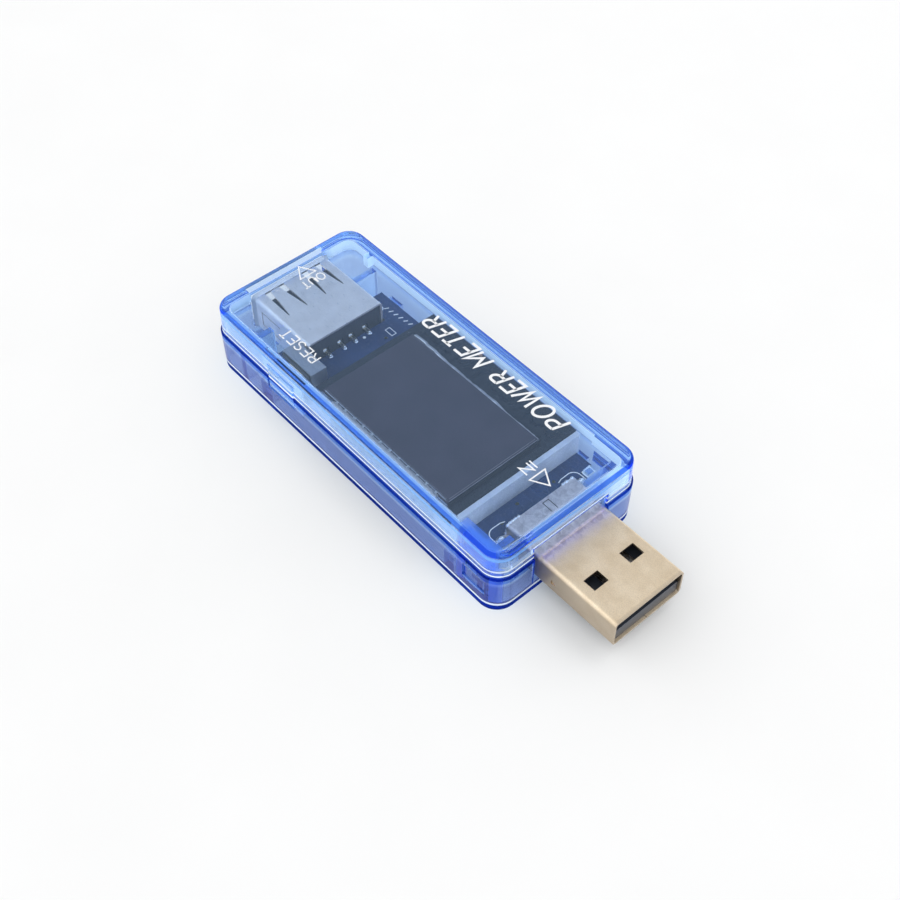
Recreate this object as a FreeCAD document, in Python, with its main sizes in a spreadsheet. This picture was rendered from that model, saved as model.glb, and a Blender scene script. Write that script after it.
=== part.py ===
import FreeCAD, Part
import Sketcher
import math
import os

# USB power meter: a clear two-shell case holding a circuit board with a USB-A plug at one end, a USB-A socket
# at the other, a display between them and a reset button in the long side.
#
# Frame: +X is the way the plug points, +Z comes out of the display face,
# -Y is the side with the reset button.
# The origin is the middle of the whole object's footprint, at the height of the face it rests on.

SIZES = [
    # case
    ("case_length", 59.6, "length of the lower shell at the seam"),
    ("case_width", 25.6, "width of the lower shell at the seam"),
    ("case_height", 11.5, "height from the resting face to the cover"),
    ("plug_reach", 13.3, "how far the plug stands out of the case"),
    ("seam_height", 7.0, "height of the joint between the two shells"),
    ("case_corner", 3.0, "corner radius of the lower shell, seen from above"),
    ("lower_draft", 0.8, "draft angle of the lower shell"),
    ("upper_draft", 1.5, "draft angle of the upper shell"),
    ("seam_ledge", 0.25, "how far the lower rim stands proud of the upper shell"),
    ("seam_gap", 0.03, "gap between the two shells where they meet"),
    ("lower_wall", 1.3, "wall thickness of the lower shell"),
    ("upper_wall", 1.4, "wall thickness of the upper shell at its sides"),
    ("end_wall", 1.25, "wall thickness of the upper shell at its ends"),
    ("floor_thickness", 1.0, "thickness of the lower shell's floor"),
    ("plug_end_extra", 0.3, "extra wall thickness of the upper shell around the plug"),
    ("opening_round", 0.5, "edge radius along the top of the plug opening"),
    ("cover_thickness", 1.6, "thickness of the upper shell's cover"),
    ("bottom_round", 0.45, "edge radius under the lower shell"),
    ("cover_round", 0.7, "edge radius around the cover"),
    ("cavity_round", 0.3, "edge radius inside the shells"),
    ("lip_height", 0.9, "height of the lower shell's inner lip"),
    ("lip_setback", 0.75, "distance from the outer wall to the lip"),
    ("lip_gap", 0.1, "gap between the lip and the upper shell"),
    ("rib_thickness", 1.0, "thickness of the ribs inside the lower shell"),
    ("seam_chamfer", 0.12, "small bevel under the upper shell's rim"),
    ("rim_round", 0.22, "edge radius of the lower shell's rim"),
    # openings in the case
    ("plug_opening_half", 6.35, "half width of the plug opening"),
    ("plug_opening_low", 2.45, "bottom of the plug opening"),
    ("plug_opening_high", 8.4, "top of the plug opening"),
    ("socket_opening_half", 6.75, "half width of the socket opening"),
    ("socket_opening_low", 3.0, "bottom of the socket opening"),
    ("socket_opening_high", 9.2, "top of the socket opening"),
    # circuit board
    ("board_under", 4.2, "height of the board's underside"),
    ("board_thickness", 1.2, "board thickness"),
    ("board_half_width", 10.05, "half width of the board"),
    ("board_rear", -26.5, "X of the board's socket end"),
    ("board_front", 18.25, "X of the board's plug end"),
    ("notch_start", 16.6, "X where the corner notches begin"),
    ("notch_inner", 8.1, "Y of the corner notches' inner edge"),
    ("socket_slot_end", -21.7, "X of the end of the socket's cut-out"),
    ("socket_slot_half", 6.8, "half width of the socket's cut-out"),
    ("plug_slot_end", 17.35, "X of the end of the plug's cut-out"),
    ("plug_slot_half", 6.2, "half width of the plug's cut-out"),
    ("pin_hole", 0.4, "radius of the display pin holes"),
    ("via_hole", 0.25, "radius of the plated holes"),
    # USB-A plug
    ("plug_width", 12.0, "USB-A plug width"),
    ("plug_height", 4.5, "USB-A plug height"),
    ("plug_centre", 5.05, "height of the plug's centre"),
    ("plug_rear", 17.5, "X of the plug shell's rear edge"),
    ("plug_corner", 0.65, "outer corner radius of the plug shell"),
    ("sheet_metal", 0.3, "thickness of both connector shells"),
    ("window_from_tip", 6.1, "distance from the plug's tip to the middle of its windows"),
    ("window_spacing", 6.2, "distance between the two windows"),
    ("window_long", 1.95, "window size along the plug"),
    ("window_wide", 2.4, "window size across the plug"),
    ("tongue_thickness", 1.95, "thickness of the plug's plastic tongue"),
    ("tongue_setback", 0.35, "distance from the plug's tip to its tongue"),
    ("plug_block", 6.4, "length of the block at the rear of the plug"),
    ("contact_width", 1.0, "width of a contact"),
    ("contact_inner", 1.0, "Y of the two data contacts"),
    ("contact_outer", 3.5, "Y of the two power contacts"),
    ("contact_sheet", 0.2, "thickness of a contact"),
    # USB-A socket
    ("socket_width", 13.1, "outer width of the socket shell"),
    ("socket_height", 5.72, "outer height of the socket shell"),
    ("socket_centre", 6.04, "height of the socket's centre"),
    ("socket_mouth", -34.85, "X of the socket's mouth"),
    ("socket_rear", -21.95, "X of the socket's rear edge"),
    ("mouth_flare", 0.55, "length of the flared mouth"),
    ("flare_angle", 28.0, "angle of the flared mouth"),
    ("spring_root", -28.5, "X of the root of the spring tongues"),
    ("spring_tip", -34.1, "X of the tip of the spring tongues"),
    ("spring_offset", 3.25, "Y of the spring tongues"),
    ("socket_tongue", 1.84, "thickness of the socket's plastic tongue"),
    ("socket_tongue_low", 6.12, "height of the underside of the socket's tongue"),
    # display
    ("guide_rear", -15.6, "X of the light guide's socket end"),
    ("guide_front", 13.9, "X of the light guide's plug end"),
    ("guide_half_width", 10.4, "half width of the light guide"),
    ("guide_top", 8.0, "height of the light guide's top face"),
    ("guide_rim", 0.75, "thickness of the rim at the plug end"),
    ("guide_rim_top", 8.9, "height of that rim"),
    ("glass_thickness", 0.7, "thickness of one glass plate"),
    ("film_thickness", 0.13, "thickness of a polariser"),
    ("film_inset", 0.3, "distance from a glass edge to its polariser"),
    ("film_end_inset", 0.08, "the same distance at the ends and the near side of the front polariser"),
    ("glue_line", 0.01, "gap between two layers of the display"),
    ("rear_glass_rear", -15.4, "X of the rear plate's socket edge"),
    ("rear_glass_front", 13.0, "X of the rear plate's plug edge"),
    ("rear_glass_half_width", 10.5, "half width of the rear plate"),
    ("front_glass_rear", -13.75, "X of the front plate's socket edge"),
    ("front_glass_front", 11.5, "X of the front plate's plug edge"),
    ("front_glass_near", -10.5, "Y of the front plate's near edge"),
    ("front_glass_far", 5.5, "Y of the front plate's far edge"),
    ("pin_pitch", 1.8, "pitch of the display pins"),
    ("pin_first", -10.55, "X of the first display pin"),
    ("pin_width", 0.4, "width of a display pin"),
    ("pin_sheet", 0.12, "thickness of a display pin"),
    ("pin_row", -9.35, "Y where the display pins pass through the board"),
    ("finger_tip", -10.2, "Y of the tips of the pins' fingers"),
    ("bead_radius", 0.17, "radius of the glue bead over the pins"),
    ("bead_row", -10.1, "Y of the middle of the glue bead"),
    # reset button and its switch
    ("button_x", -20.45, "X of the reset button"),
    ("button_hole_half", 2.95, "half length of the button's hole"),
    ("button_hole_low", 4.9, "bottom of the button's hole"),
    ("button_hole_high", 9.2, "top of the button's hole"),
    ("button_gap", 0.1, "gap around the button's face"),
    ("button_face", -12.7, "Y of the button's face"),
    ("flange_pocket", -11.72, "Y of the seat for the button's flange"),
    ("flange_half", 4.3, "half length of the button's flange"),
    ("flange_thickness", 0.6, "thickness of the button's flange"),
    ("flange_margin", 0.35, "how far the flange reaches above and below the face"),
    ("press_travel", 0.25, "travel of the button and the switch plunger"),
    ("switch_half_length", 3.0, "half length of the switch housing"),
    ("switch_front", -9.95, "Y of the switch housing's front"),
    ("switch_depth", 3.0, "depth of the switch housing"),
    ("switch_height", 3.3, "height of the switch housing"),
    ("plunger_half", 1.3, "half length of the plunger"),
    ("plunger_low", 6.3, "bottom of the plunger"),
    ("plunger_high", 7.9, "top of the plunger"),
    ("plunger_tip", -10.68, "Y of the plunger's tip"),
    ("plunger_gap", 0.06, "gap around the plunger inside the housing"),
    # parts under the board
    ("chip_gap", 0.12, "gap between a chip's body and the board"),
    ("lead_sheet", 0.2, "thickness of a chip's leads"),
]


class Size:
    """A number from the sheet, or one worked out from it, with the expression that gives it."""

    def __init__(self, value, text):
        self.value = value
        self.text = text

    def __add__(self, other):
        other = as_size(other)
        return Size(self.value + other.value, f"({self.text} + {other.text})")

    def __sub__(self, other):
        other = as_size(other)
        return Size(self.value - other.value, f"({self.text} - {other.text})")

    def __mul__(self, other):
        other = as_size(other)
        return Size(self.value * other.value, f"({self.text} * {other.text})")

    def __truediv__(self, other):
        other = as_size(other)
        return Size(self.value / other.value, f"({self.text} / {other.text})")

    def __neg__(self):
        return Size(-self.value, f"(0 - {self.text})")

    def __radd__(self, other):
        return as_size(other) + self

    def __rsub__(self, other):
        return as_size(other) - self

    def __rmul__(self, other):
        return as_size(other) * self


def as_size(item):
    if isinstance(item, Size):
        return item
    return Size(float(item), f"({float(item)})")


class Sheet:
    """The driving dimensions: each alias of the spreadsheet is an attribute here."""

    def __init__(self, document, rows):
        cells = document.addObject("Spreadsheet::Sheet", "Sizes")
        for row, (alias, value, note) in enumerate(rows, start=1):
            cells.set(f"A{row}", alias)
            cells.set(f"B{row}", str(value))
            cells.set(f"C{row}", note)
            cells.setAlias(f"B{row}", alias)
            setattr(self, alias, Size(value, f"Sizes.{alias}"))
        document.recompute()


doc = FreeCAD.newDocument("usb_power_meter")
s = Sheet(doc, SIZES)
nodes = {}

total_length = s.case_length + s.plug_reach
case_rear = -(total_length / 2)
case_front = case_rear + s.case_length
tip = total_length / 2
half_width = s.case_width / 2
board_top = s.board_under + s.board_thickness
ceiling = s.case_height - s.cover_thickness
seam_top = s.seam_height + s.seam_gap


# ---- helpers: sketches and features of a PartDesign body ------------------------------------------

def bind(item, name, size):
    item.setExpression(name, as_size(size).text)


def new_body(name):
    body = doc.addObject("PartDesign::Body", name)
    body.Label = name
    nodes[name] = body
    return body


def new_sketch(body, role, offset):
    """An empty sketch on one of the body's own origin planes, moved along the plane's normal."""
    sketch = body.newObject("Sketcher::SketchObject", f"{body.Name}_sketch")
    plane = [item for item in body.Origin.OriginFeatures if item.Role == role][0]
    sketch.AttachmentSupport = [(plane, "")]
    sketch.MapMode = "FlatFace"
    bind(sketch, "AttachmentOffset.Base.z", offset)
    return sketch


def fix_point(sketch, geometry, end, across, along):
    for kind, size in (("DistanceX", across), ("DistanceY", along)):
        index = sketch.addConstraint(Sketcher.Constraint(kind, geometry, end, size.value))
        bind(sketch, f"Constraints[{index}]", size)


def draw_polygon(sketch, points):
    corners = [(as_size(x), as_size(y)) for x, y in points]
    first = sketch.GeometryCount
    for (x0, y0), (x1, y1) in zip(corners, corners[1:] + corners[:1]):
        start = FreeCAD.Vector(x0.value, y0.value, 0)
        end = FreeCAD.Vector(x1.value, y1.value, 0)
        sketch.addGeometry(Part.LineSegment(start, end))
    for index, (x, y) in enumerate(corners):
        before = first + (index - 1) % len(corners)
        sketch.addConstraint(Sketcher.Constraint("Coincident", before, 2, first + index, 1))
        fix_point(sketch, first + index, 1, x, y)


def draw_rounded(sketch, x_range, y_range, radius):
    """A rectangle with round corners: four lines joined by four arcs."""
    x0, x1 = [as_size(x) for x in x_range]
    y0, y1 = [as_size(y) for y in y_range]
    r = as_size(radius)
    sides = [
        ((x0 + r, y0), (x1 - r, y0)),
        ((x1, y0 + r), (x1, y1 - r)),
        ((x1 - r, y1), (x0 + r, y1)),
        ((x0, y1 - r), (x0, y0 + r)),
    ]
    centres = [(x1 - r, y0 + r), (x1 - r, y1 - r), (x0 + r, y1 - r), (x0 + r, y0 + r)]
    first = sketch.GeometryCount
    for start, end in sides:
        ends = [FreeCAD.Vector(x.value, y.value, 0) for x, y in (start, end)]
        sketch.addGeometry(Part.LineSegment(*ends))
    for index, (x, y) in enumerate(centres):
        circle = Part.Circle(FreeCAD.Vector(x.value, y.value, 0), FreeCAD.Vector(0, 0, 1), r.value)
        angle = math.radians(-90 + 90 * index)
        sketch.addGeometry(Part.ArcOfCircle(circle, angle, angle + math.pi / 2))
    for index, (start, end) in enumerate(sides):
        fix_point(sketch, first + index, 1, *start)
        fix_point(sketch, first + index, 2, *end)
    for index in range(4):
        arc = first + 4 + index
        after = first + (index + 1) % 4
        sketch.addConstraint(Sketcher.Constraint("Coincident", first + index, 2, arc, 1))
        sketch.addConstraint(Sketcher.Constraint("Coincident", after, 1, arc, 2))
        number = sketch.addConstraint(Sketcher.Constraint("Radius", arc, r.value))
        bind(sketch, f"Constraints[{number}]", r)


def draw_circle(sketch, x, y, radius):
    x, y, radius = as_size(x), as_size(y), as_size(radius)
    centre = FreeCAD.Vector(x.value, y.value, 0)
    circle = sketch.addGeometry(Part.Circle(centre, FreeCAD.Vector(0, 0, 1), radius.value))
    fix_point(sketch, circle, 3, x, y)
    number = sketch.addConstraint(Sketcher.Constraint("Radius", circle, radius.value))
    bind(sketch, f"Constraints[{number}]", radius)


def volume(body):
    if body.Shape.isNull():
        return 0.0
    return body.Shape.Volume


def add_feature(body, kind, sketch, length, up, taper=None):
    """Pad or pocket a sketch, up or down its normal, and make sure that it changed the solid."""
    before = volume(body)
    feature = body.newObject(f"PartDesign::{kind}", f"{body.Name}_{kind.lower()}")
    feature.Profile = sketch
    bind(feature, "Length", length)
    if kind == "Pad":
        feature.Reversed = not up
    else:
        feature.Reversed = up
    if taper is not None:
        bind(feature, "TaperAngle", taper)
    doc.recompute()
    change = volume(body) - before
    if (change > 0) != (kind == "Pad") or change == 0:
        raise RuntimeError(f"{feature.Name} changed the volume by {change:.4f}")
    return feature


def add_block(body, x_range, y_range, z_range):
    sketch = new_sketch(body, "XY_Plane", z_range[0])
    (x0, x1), (y0, y1) = x_range, y_range
    draw_polygon(sketch, [(x0, y0), (x1, y0), (x1, y1), (x0, y1)])
    return add_feature(body, "Pad", sketch, z_range[1] - as_size(z_range[0]), True)


def cut_block(body, x_range, y_range, z_range):
    sketch = new_sketch(body, "XY_Plane", z_range[1])
    (x0, x1), (y0, y1) = x_range, y_range
    draw_polygon(sketch, [(x0, y0), (x1, y0), (x1, y1), (x0, y1)])
    return add_feature(body, "Pocket", sketch, z_range[1] - as_size(z_range[0]), False)


def round_edges(body, radius, wanted, kind="Fillet"):
    """Fillet or chamfer the edges of the body's tip for which wanted(edge) is true."""
    base = body.Tip
    names = [f"Edge{n}" for n, edge in enumerate(base.Shape.Edges, start=1) if wanted(edge)]
    if not names:
        raise RuntimeError(f"no edge to finish on {body.Label}")
    feature = body.newObject(f"PartDesign::{kind}", f"{body.Name}_{kind.lower()}")
    feature.Base = (base, names)
    bind(feature, "Radius" if kind == "Fillet" else "Size", radius)
    doc.recompute()
    return feature


def at_height(height):
    """A test for edges that lie flat at one height."""
    level = as_size(height).value

    def test(edge):
        box = edge.BoundBox
        return abs(box.ZMin - level) < 1e-4 and abs(box.ZMax - level) < 1e-4

    return test


def mirrored(low, high):
    """The same Y range on the far side and on the near side."""
    return ((low, high), (-as_size(high), -as_size(low)))


# ---- helpers: Part primitives ---------------------------------------------------------------------

def part_box(name, x_range, y_range, z_range):
    box = doc.addObject("Part::Box", name)
    for side, axis, limits in zip(("Length", "Width", "Height"), "xyz", (x_range, y_range, z_range)):
        low, high = [as_size(limit) for limit in limits]
        bind(box, side, high - low)
        bind(box, f"Placement.Base.{axis}", low)
    return box


def cut_from(name, base, tool):
    cut = doc.addObject("Part::Cut", name)
    cut.Base = base
    cut.Tool = tool
    return cut


def fuse_all(name, shapes):
    fused = doc.addObject("Part::MultiFuse", name)
    fused.Shapes = shapes
    return fused


def group_all(name, shapes):
    group = doc.addObject("Part::Compound", name)
    group.Links = shapes
    return group


def keep(name, item):
    """Make this object one of the sub-parts."""
    item.Label = name
    nodes[name] = item
    return item


def around(middle, half):
    return (middle - half, middle + half)


# ---- lower case -----------------------------------------------------------------------------------

def inset_rectangle(body, height, inset, corner_inset=None):
    """A sketch of the case's outline, moved inwards by inset on all sides."""
    sketch = new_sketch(body, "XY_Plane", height)
    corner = s.case_corner - (inset if corner_inset is None else corner_inset)
    y_range = around(as_size(0), half_width - inset)
    draw_rounded(sketch, (case_rear + inset, case_front - inset), y_range, corner)
    return sketch


def make_lower_case():
    body = new_body("lower_case")
    outline = inset_rectangle(body, s.seam_height, as_size(0))
    add_feature(body, "Pad", outline, s.seam_height, False, -s.lower_draft)
    round_edges(body, s.bottom_round, at_height(0))
    round_edges(body, s.rim_round, at_height(s.seam_height))

    lip = inset_rectangle(body, s.seam_height, s.lip_setback)
    add_feature(body, "Pad", lip, s.lip_height, True)
    cavity = inset_rectangle(body, s.seam_height + s.lip_height, s.lower_wall)
    depth = s.seam_height + s.lip_height - s.floor_thickness
    add_feature(body, "Pocket", cavity, depth, False)
    inner_half = half_width - s.lower_wall

    def floor_rim(edge):
        return at_height(s.floor_thickness)(edge)

    round_edges(body, s.cavity_round, floor_rim)

    # openings for the two connectors, through the end walls and the lip
    top = s.seam_height + s.lip_height
    half = s.plug_opening_half
    plug_x = (case_front - s.lower_wall - 0.3, case_front + 1)
    cut_block(body, plug_x, (-half, half), (s.plug_opening_low, top))
    half = s.socket_opening_half
    socket_x = (case_rear - 1, case_rear + s.lower_wall + 0.3)
    cut_block(body, socket_x, (-half, half), (s.socket_opening_low, top))

    # hole for the reset button and the seat for its flange
    hole_x = around(s.button_x, s.button_hole_half)
    cut_block(body, hole_x, (-half_width - 1, s.flange_pocket + 0.3), (s.button_hole_low, top))
    seat_x = around(s.button_x, s.flange_half + 0.2)
    seat_low = s.button_hole_low - s.flange_margin - 0.3
    cut_block(body, seat_x, (s.flange_pocket, -inner_half + 0.1), (seat_low, top))

    # rests under the four corners of the board
    rest_top = s.board_under - 0.05
    for x_range in ((-25.9, -23.4), (13.0, 14.9)):
        for y_range in mirrored(8.9, inner_half + 0.2):
            add_block(body, x_range, y_range, (s.floor_thickness - 0.2, rest_top))

    # posts that locate the board by its corner notches
    for y_range in mirrored(s.notch_inner + 0.15, s.notch_inner + 1.35):
        add_block(body, (s.notch_start + 0.2, s.notch_start + 1.35), y_range, (s.floor_thickness - 0.2, 6.0))

    # solid corner blocks beside the plug, with one slanted side; the near one is as tall as the lip
    for side, block_top in ((1, as_size(6.2)), (-1, s.seam_height + s.lip_height - 0.02)):
        sketch = new_sketch(body, "XY_Plane", s.floor_thickness - 0.2)
        outer, inner = side * (inner_half + 0.2), side * (s.board_half_width + 0.1)
        draw_polygon(sketch, [(15.4, outer), (16.55, inner), (20.7, inner), (20.7, outer)])
        add_feature(body, "Pad", sketch, block_top - s.floor_thickness + 0.2, True)

    # cross ribs that hold the plug and the socket
    for y_range in mirrored(s.plug_opening_half + 0.1, inner_half + 0.2):
        add_block(body, (18.6, 18.6 + s.rib_thickness), y_range, (s.floor_thickness - 0.2, 6.9))
    for y_range in mirrored(s.socket_opening_half + 0.3, inner_half + 0.2):
        add_block(body, (-30.4, -30.4 + s.rib_thickness), y_range, (s.floor_thickness - 0.2, 6.6))
    socket_under = s.socket_centre - s.socket_height / 2
    for x in (-32.6, -26.4):
        add_block(body, (x, x + s.rib_thickness), (-5.5, 5.5), (s.floor_thickness - 0.2, socket_under - 0.06))
    plug_under = s.plug_centre - s.plug_height / 2
    add_block(body, (19.4, 20.6), (-4.5, 4.5), (s.floor_thickness - 0.2, plug_under - 0.06))

    # shallow recess in the near side below the corner block
    cut_block(body, (16.9, 20.9), (-half_width - 1, -half_width + 0.3), (3.0, 5.6))


# ---- upper case -----------------------------------------------------------------------------------

def make_upper_case():
    body = new_body("upper_case")
    outline = inset_rectangle(body, seam_top, s.seam_ledge)
    height = s.case_height - seam_top
    add_feature(body, "Pad", outline, height, True, -s.upper_draft)
    round_edges(body, s.cover_round, at_height(s.case_height))
    round_edges(body, s.seam_chamfer, at_height(seam_top), "Chamfer")

    # the hollow: thin side walls, thicker end walls
    cavity = new_sketch(body, "XY_Plane", seam_top)
    side = half_width - s.seam_ledge - s.upper_wall
    end = s.seam_ledge + s.end_wall
    cavity_x = (case_rear + end, case_front - end - s.plug_end_extra)
    draw_rounded(cavity, cavity_x, (-side, side), s.case_corner - s.upper_wall)
    add_feature(body, "Pocket", cavity, ceiling - seam_top, True)
    round_edges(body, s.cavity_round, at_height(ceiling))

    # step that sits over the lower shell's lip
    step = inset_rectangle(body, seam_top, s.lip_setback - s.lip_gap, s.lip_setback)
    add_feature(body, "Pocket", step, s.lip_height + s.lip_gap, True)

    # openings for the two connectors
    half = s.plug_opening_half
    plug_x = (case_front - s.end_wall - 0.8, case_front + 1)
    cut_block(body, plug_x, (-half, half), (seam_top, s.plug_opening_high))

    def lintel(edge):
        return at_height(s.plug_opening_high)(edge) and edge.BoundBox.YLength > 12

    round_edges(body, s.opening_round, lintel)
    half = s.socket_opening_half
    socket_x = (case_rear - 1, case_rear + s.end_wall + 0.5)
    cut_block(body, socket_x, (-half, half), (seam_top, s.socket_opening_high))

    # hole for the reset button and the seat for its flange
    hole_x = around(s.button_x, s.button_hole_half)
    cut_block(body, hole_x, (-half_width - 1, s.flange_pocket + 0.3), (seam_top, s.button_hole_high))
    seat_x = around(s.button_x, s.flange_half + 0.2)
    seat_high = s.button_hole_high + s.flange_margin + 0.1
    cut_block(body, seat_x, (s.flange_pocket, -side + 0.1), (seam_top, seat_high))

    # thicker walls in both corners beside the plug, and a rib beside the socket on the far side
    above_lip = (seam_top + s.lip_height + 0.15, ceiling + 0.2)
    add_block(body, (16.0, 21.4), (-side - 0.3, -10.75), above_lip)
    add_block(body, (15.6, 21.4), (side - 0.35, side + 0.2), above_lip)
    add_block(body, (-30.4, -30.4 + s.rib_thickness), (side - 1.1, side + 0.2), above_lip)


# ---- circuit board --------------------------------------------------------------------------------

def make_circuit_board():
    body = new_body("circuit_board")
    half = s.board_half_width
    far_side = [
        (s.socket_slot_end, s.socket_slot_half),
        (s.board_rear, s.socket_slot_half),
        (s.board_rear, half),
        (s.notch_start, half),
        (s.notch_start, s.notch_inner),
        (s.board_front, s.notch_inner),
        (s.board_front, s.plug_slot_half),
        (s.plug_slot_end, s.plug_slot_half),
    ]
    near_side = [(x, -y) for x, y in reversed(far_side)]
    outline = new_sketch(body, "XY_Plane", s.board_under)
    draw_polygon(outline, far_side + near_side)
    add_feature(body, "Pad", outline, s.board_thickness, True)

    # one row of holes for the display pins
    hole = new_sketch(body, "XY_Plane", board_top)
    draw_circle(hole, s.pin_first, s.pin_row, s.pin_hole)
    pocket = add_feature(body, "Pocket", hole, s.board_thickness, False)
    row = body.newObject("PartDesign::LinearPattern", "pin_hole_row")
    row.Originals = [pocket]
    row.Direction = (hole, ["H_Axis"])
    row.Occurrences = PIN_COUNT
    bind(row, "Length", s.pin_pitch * (PIN_COUNT - 1))
    body.Tip = row
    doc.recompute()

    # plated holes between the display and the connectors
    vias = new_sketch(body, "XY_Plane", board_top)
    for x, y in ((-17.6, 7.4), (-18.9, 4.6), (-17.3, -2.2), (15.4, 4.4), (14.9, -1.6), (15.9, -5.2)):
        draw_circle(vias, x, y, s.via_hole)
    add_feature(body, "Pocket", vias, s.board_thickness, False)


# ---- USB-A plug -----------------------------------------------------------------------------------

def make_plug_shell():
    body = new_body("plug_shell")
    width, height, centre = s.plug_width / 2, s.plug_height / 2, s.plug_centre
    length = tip - s.plug_rear
    outer = new_sketch(body, "YZ_Plane", s.plug_rear)
    draw_rounded(outer, (-width, width), around(centre, height), s.plug_corner)
    add_feature(body, "Pad", outer, length, True)
    inner = new_sketch(body, "YZ_Plane", tip)
    width, height = width - s.sheet_metal, height - s.sheet_metal
    draw_rounded(inner, (-width, width), around(centre, height), s.plug_corner - s.sheet_metal)
    add_feature(body, "Pocket", inner, length, False)

    # two windows in the top and two in the bottom
    window_x = around(tip - s.window_from_tip, s.window_long / 2)
    low, high = centre - s.plug_height / 2, centre + s.plug_height / 2
    for middle in (s.window_spacing / 2, -s.window_spacing / 2):
        window_y = around(middle, s.window_wide / 2)
        cut_block(body, window_x, window_y, (high - 0.4, high + 0.1))
        cut_block(body, window_x, window_y, (low - 0.1, low + 0.4))

    # the sheet's own seam along the bottom, and the slits of the tab that grips the plastic
    cut_block(body, (s.plug_rear - 1, tip + 1), (-0.04, 0.04), (low - 0.1, low + 0.4))
    for slit_y in ((-0.25, -0.13), (0.73, 0.85)):
        cut_block(body, (18.0, 19.7), slit_y, (high - 0.4, high + 0.1))
    cut_block(body, (17.9, 18.02), (-0.25, 0.85), (high - 0.4, high + 0.1))

    # dimples pressed into both sides
    for y_range in mirrored(s.plug_width / 2 - 0.15, s.plug_width / 2 + 0.1):
        cut_block(body, (25.7, 26.4), y_range, (4.4, 5.1))

    # tabs soldered to the board
    for y_range in mirrored(s.plug_width / 2 - 0.05, 7.4):
        add_block(body, (s.plug_rear + 0.05, 18.15), y_range, (board_top + 0.02, board_top + 0.27))


def make_plug_insulator():
    body = new_body("plug_insulator")
    half = s.plug_width / 2 - s.sheet_metal - 0.04
    low = s.plug_centre - s.plug_height / 2 + s.sheet_metal + 0.02
    high = s.plug_centre + s.plug_height / 2 - s.sheet_metal - 0.02
    tongue_top = low + s.tongue_thickness
    rear = s.plug_rear + 0.1
    block_end = rear + s.plug_block
    add_block(body, (rear, tip - s.tongue_setback), (-half, half), (low, tongue_top))
    add_block(body, (rear, block_end), (-half, half), (tongue_top - 0.5, high))

    def long_corner(edge):
        box = edge.BoundBox
        return box.XLength > 3 and abs(abs(box.Center.y) - half.value) < 1e-3

    round_edges(body, 0.3, long_corner)
    for middle in contact_rows():
        y_range = around(middle, s.contact_width / 2 + 0.04)
        cut_block(body, (rear + 0.9, tip - 1.2), y_range, (tongue_top - 0.32, tongue_top + 0.04))
        cut_block(body, (rear - 0.1, rear + 1.35), y_range, (low + 0.6, tongue_top + 0.04))


def contact_rows():
    return [-s.contact_outer, -s.contact_inner, s.contact_inner, s.contact_outer]


def make_plug_contacts():
    top = s.plug_centre - s.plug_height / 2 + s.sheet_metal + s.tongue_thickness - 0.02
    strips = []
    for index, middle in enumerate(contact_rows()):
        y_range = around(middle, s.contact_width / 2)
        front = tip - (1.5 if index in (0, 3) else 2.5)
        step = s.plug_rear + 1.1
        tail_top = s.board_under - 0.04
        blade = part_box(f"plug_blade_{index}", (step, front), y_range, (top - s.contact_sheet, top))
        drop = part_box(f"plug_drop_{index}", (step, step + s.contact_sheet), y_range,
                        (tail_top - s.contact_sheet, top))
        tail = part_box(f"plug_tail_{index}", (15.9, step + s.contact_sheet), y_range,
                        (tail_top - s.contact_sheet, tail_top))
        strips.append(fuse_all(f"plug_contact_{index}", [blade, drop, tail]))
    keep("plug_contacts", group_all("plug_contacts", strips))


# ---- USB-A socket ---------------------------------------------------------------------------------

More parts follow.
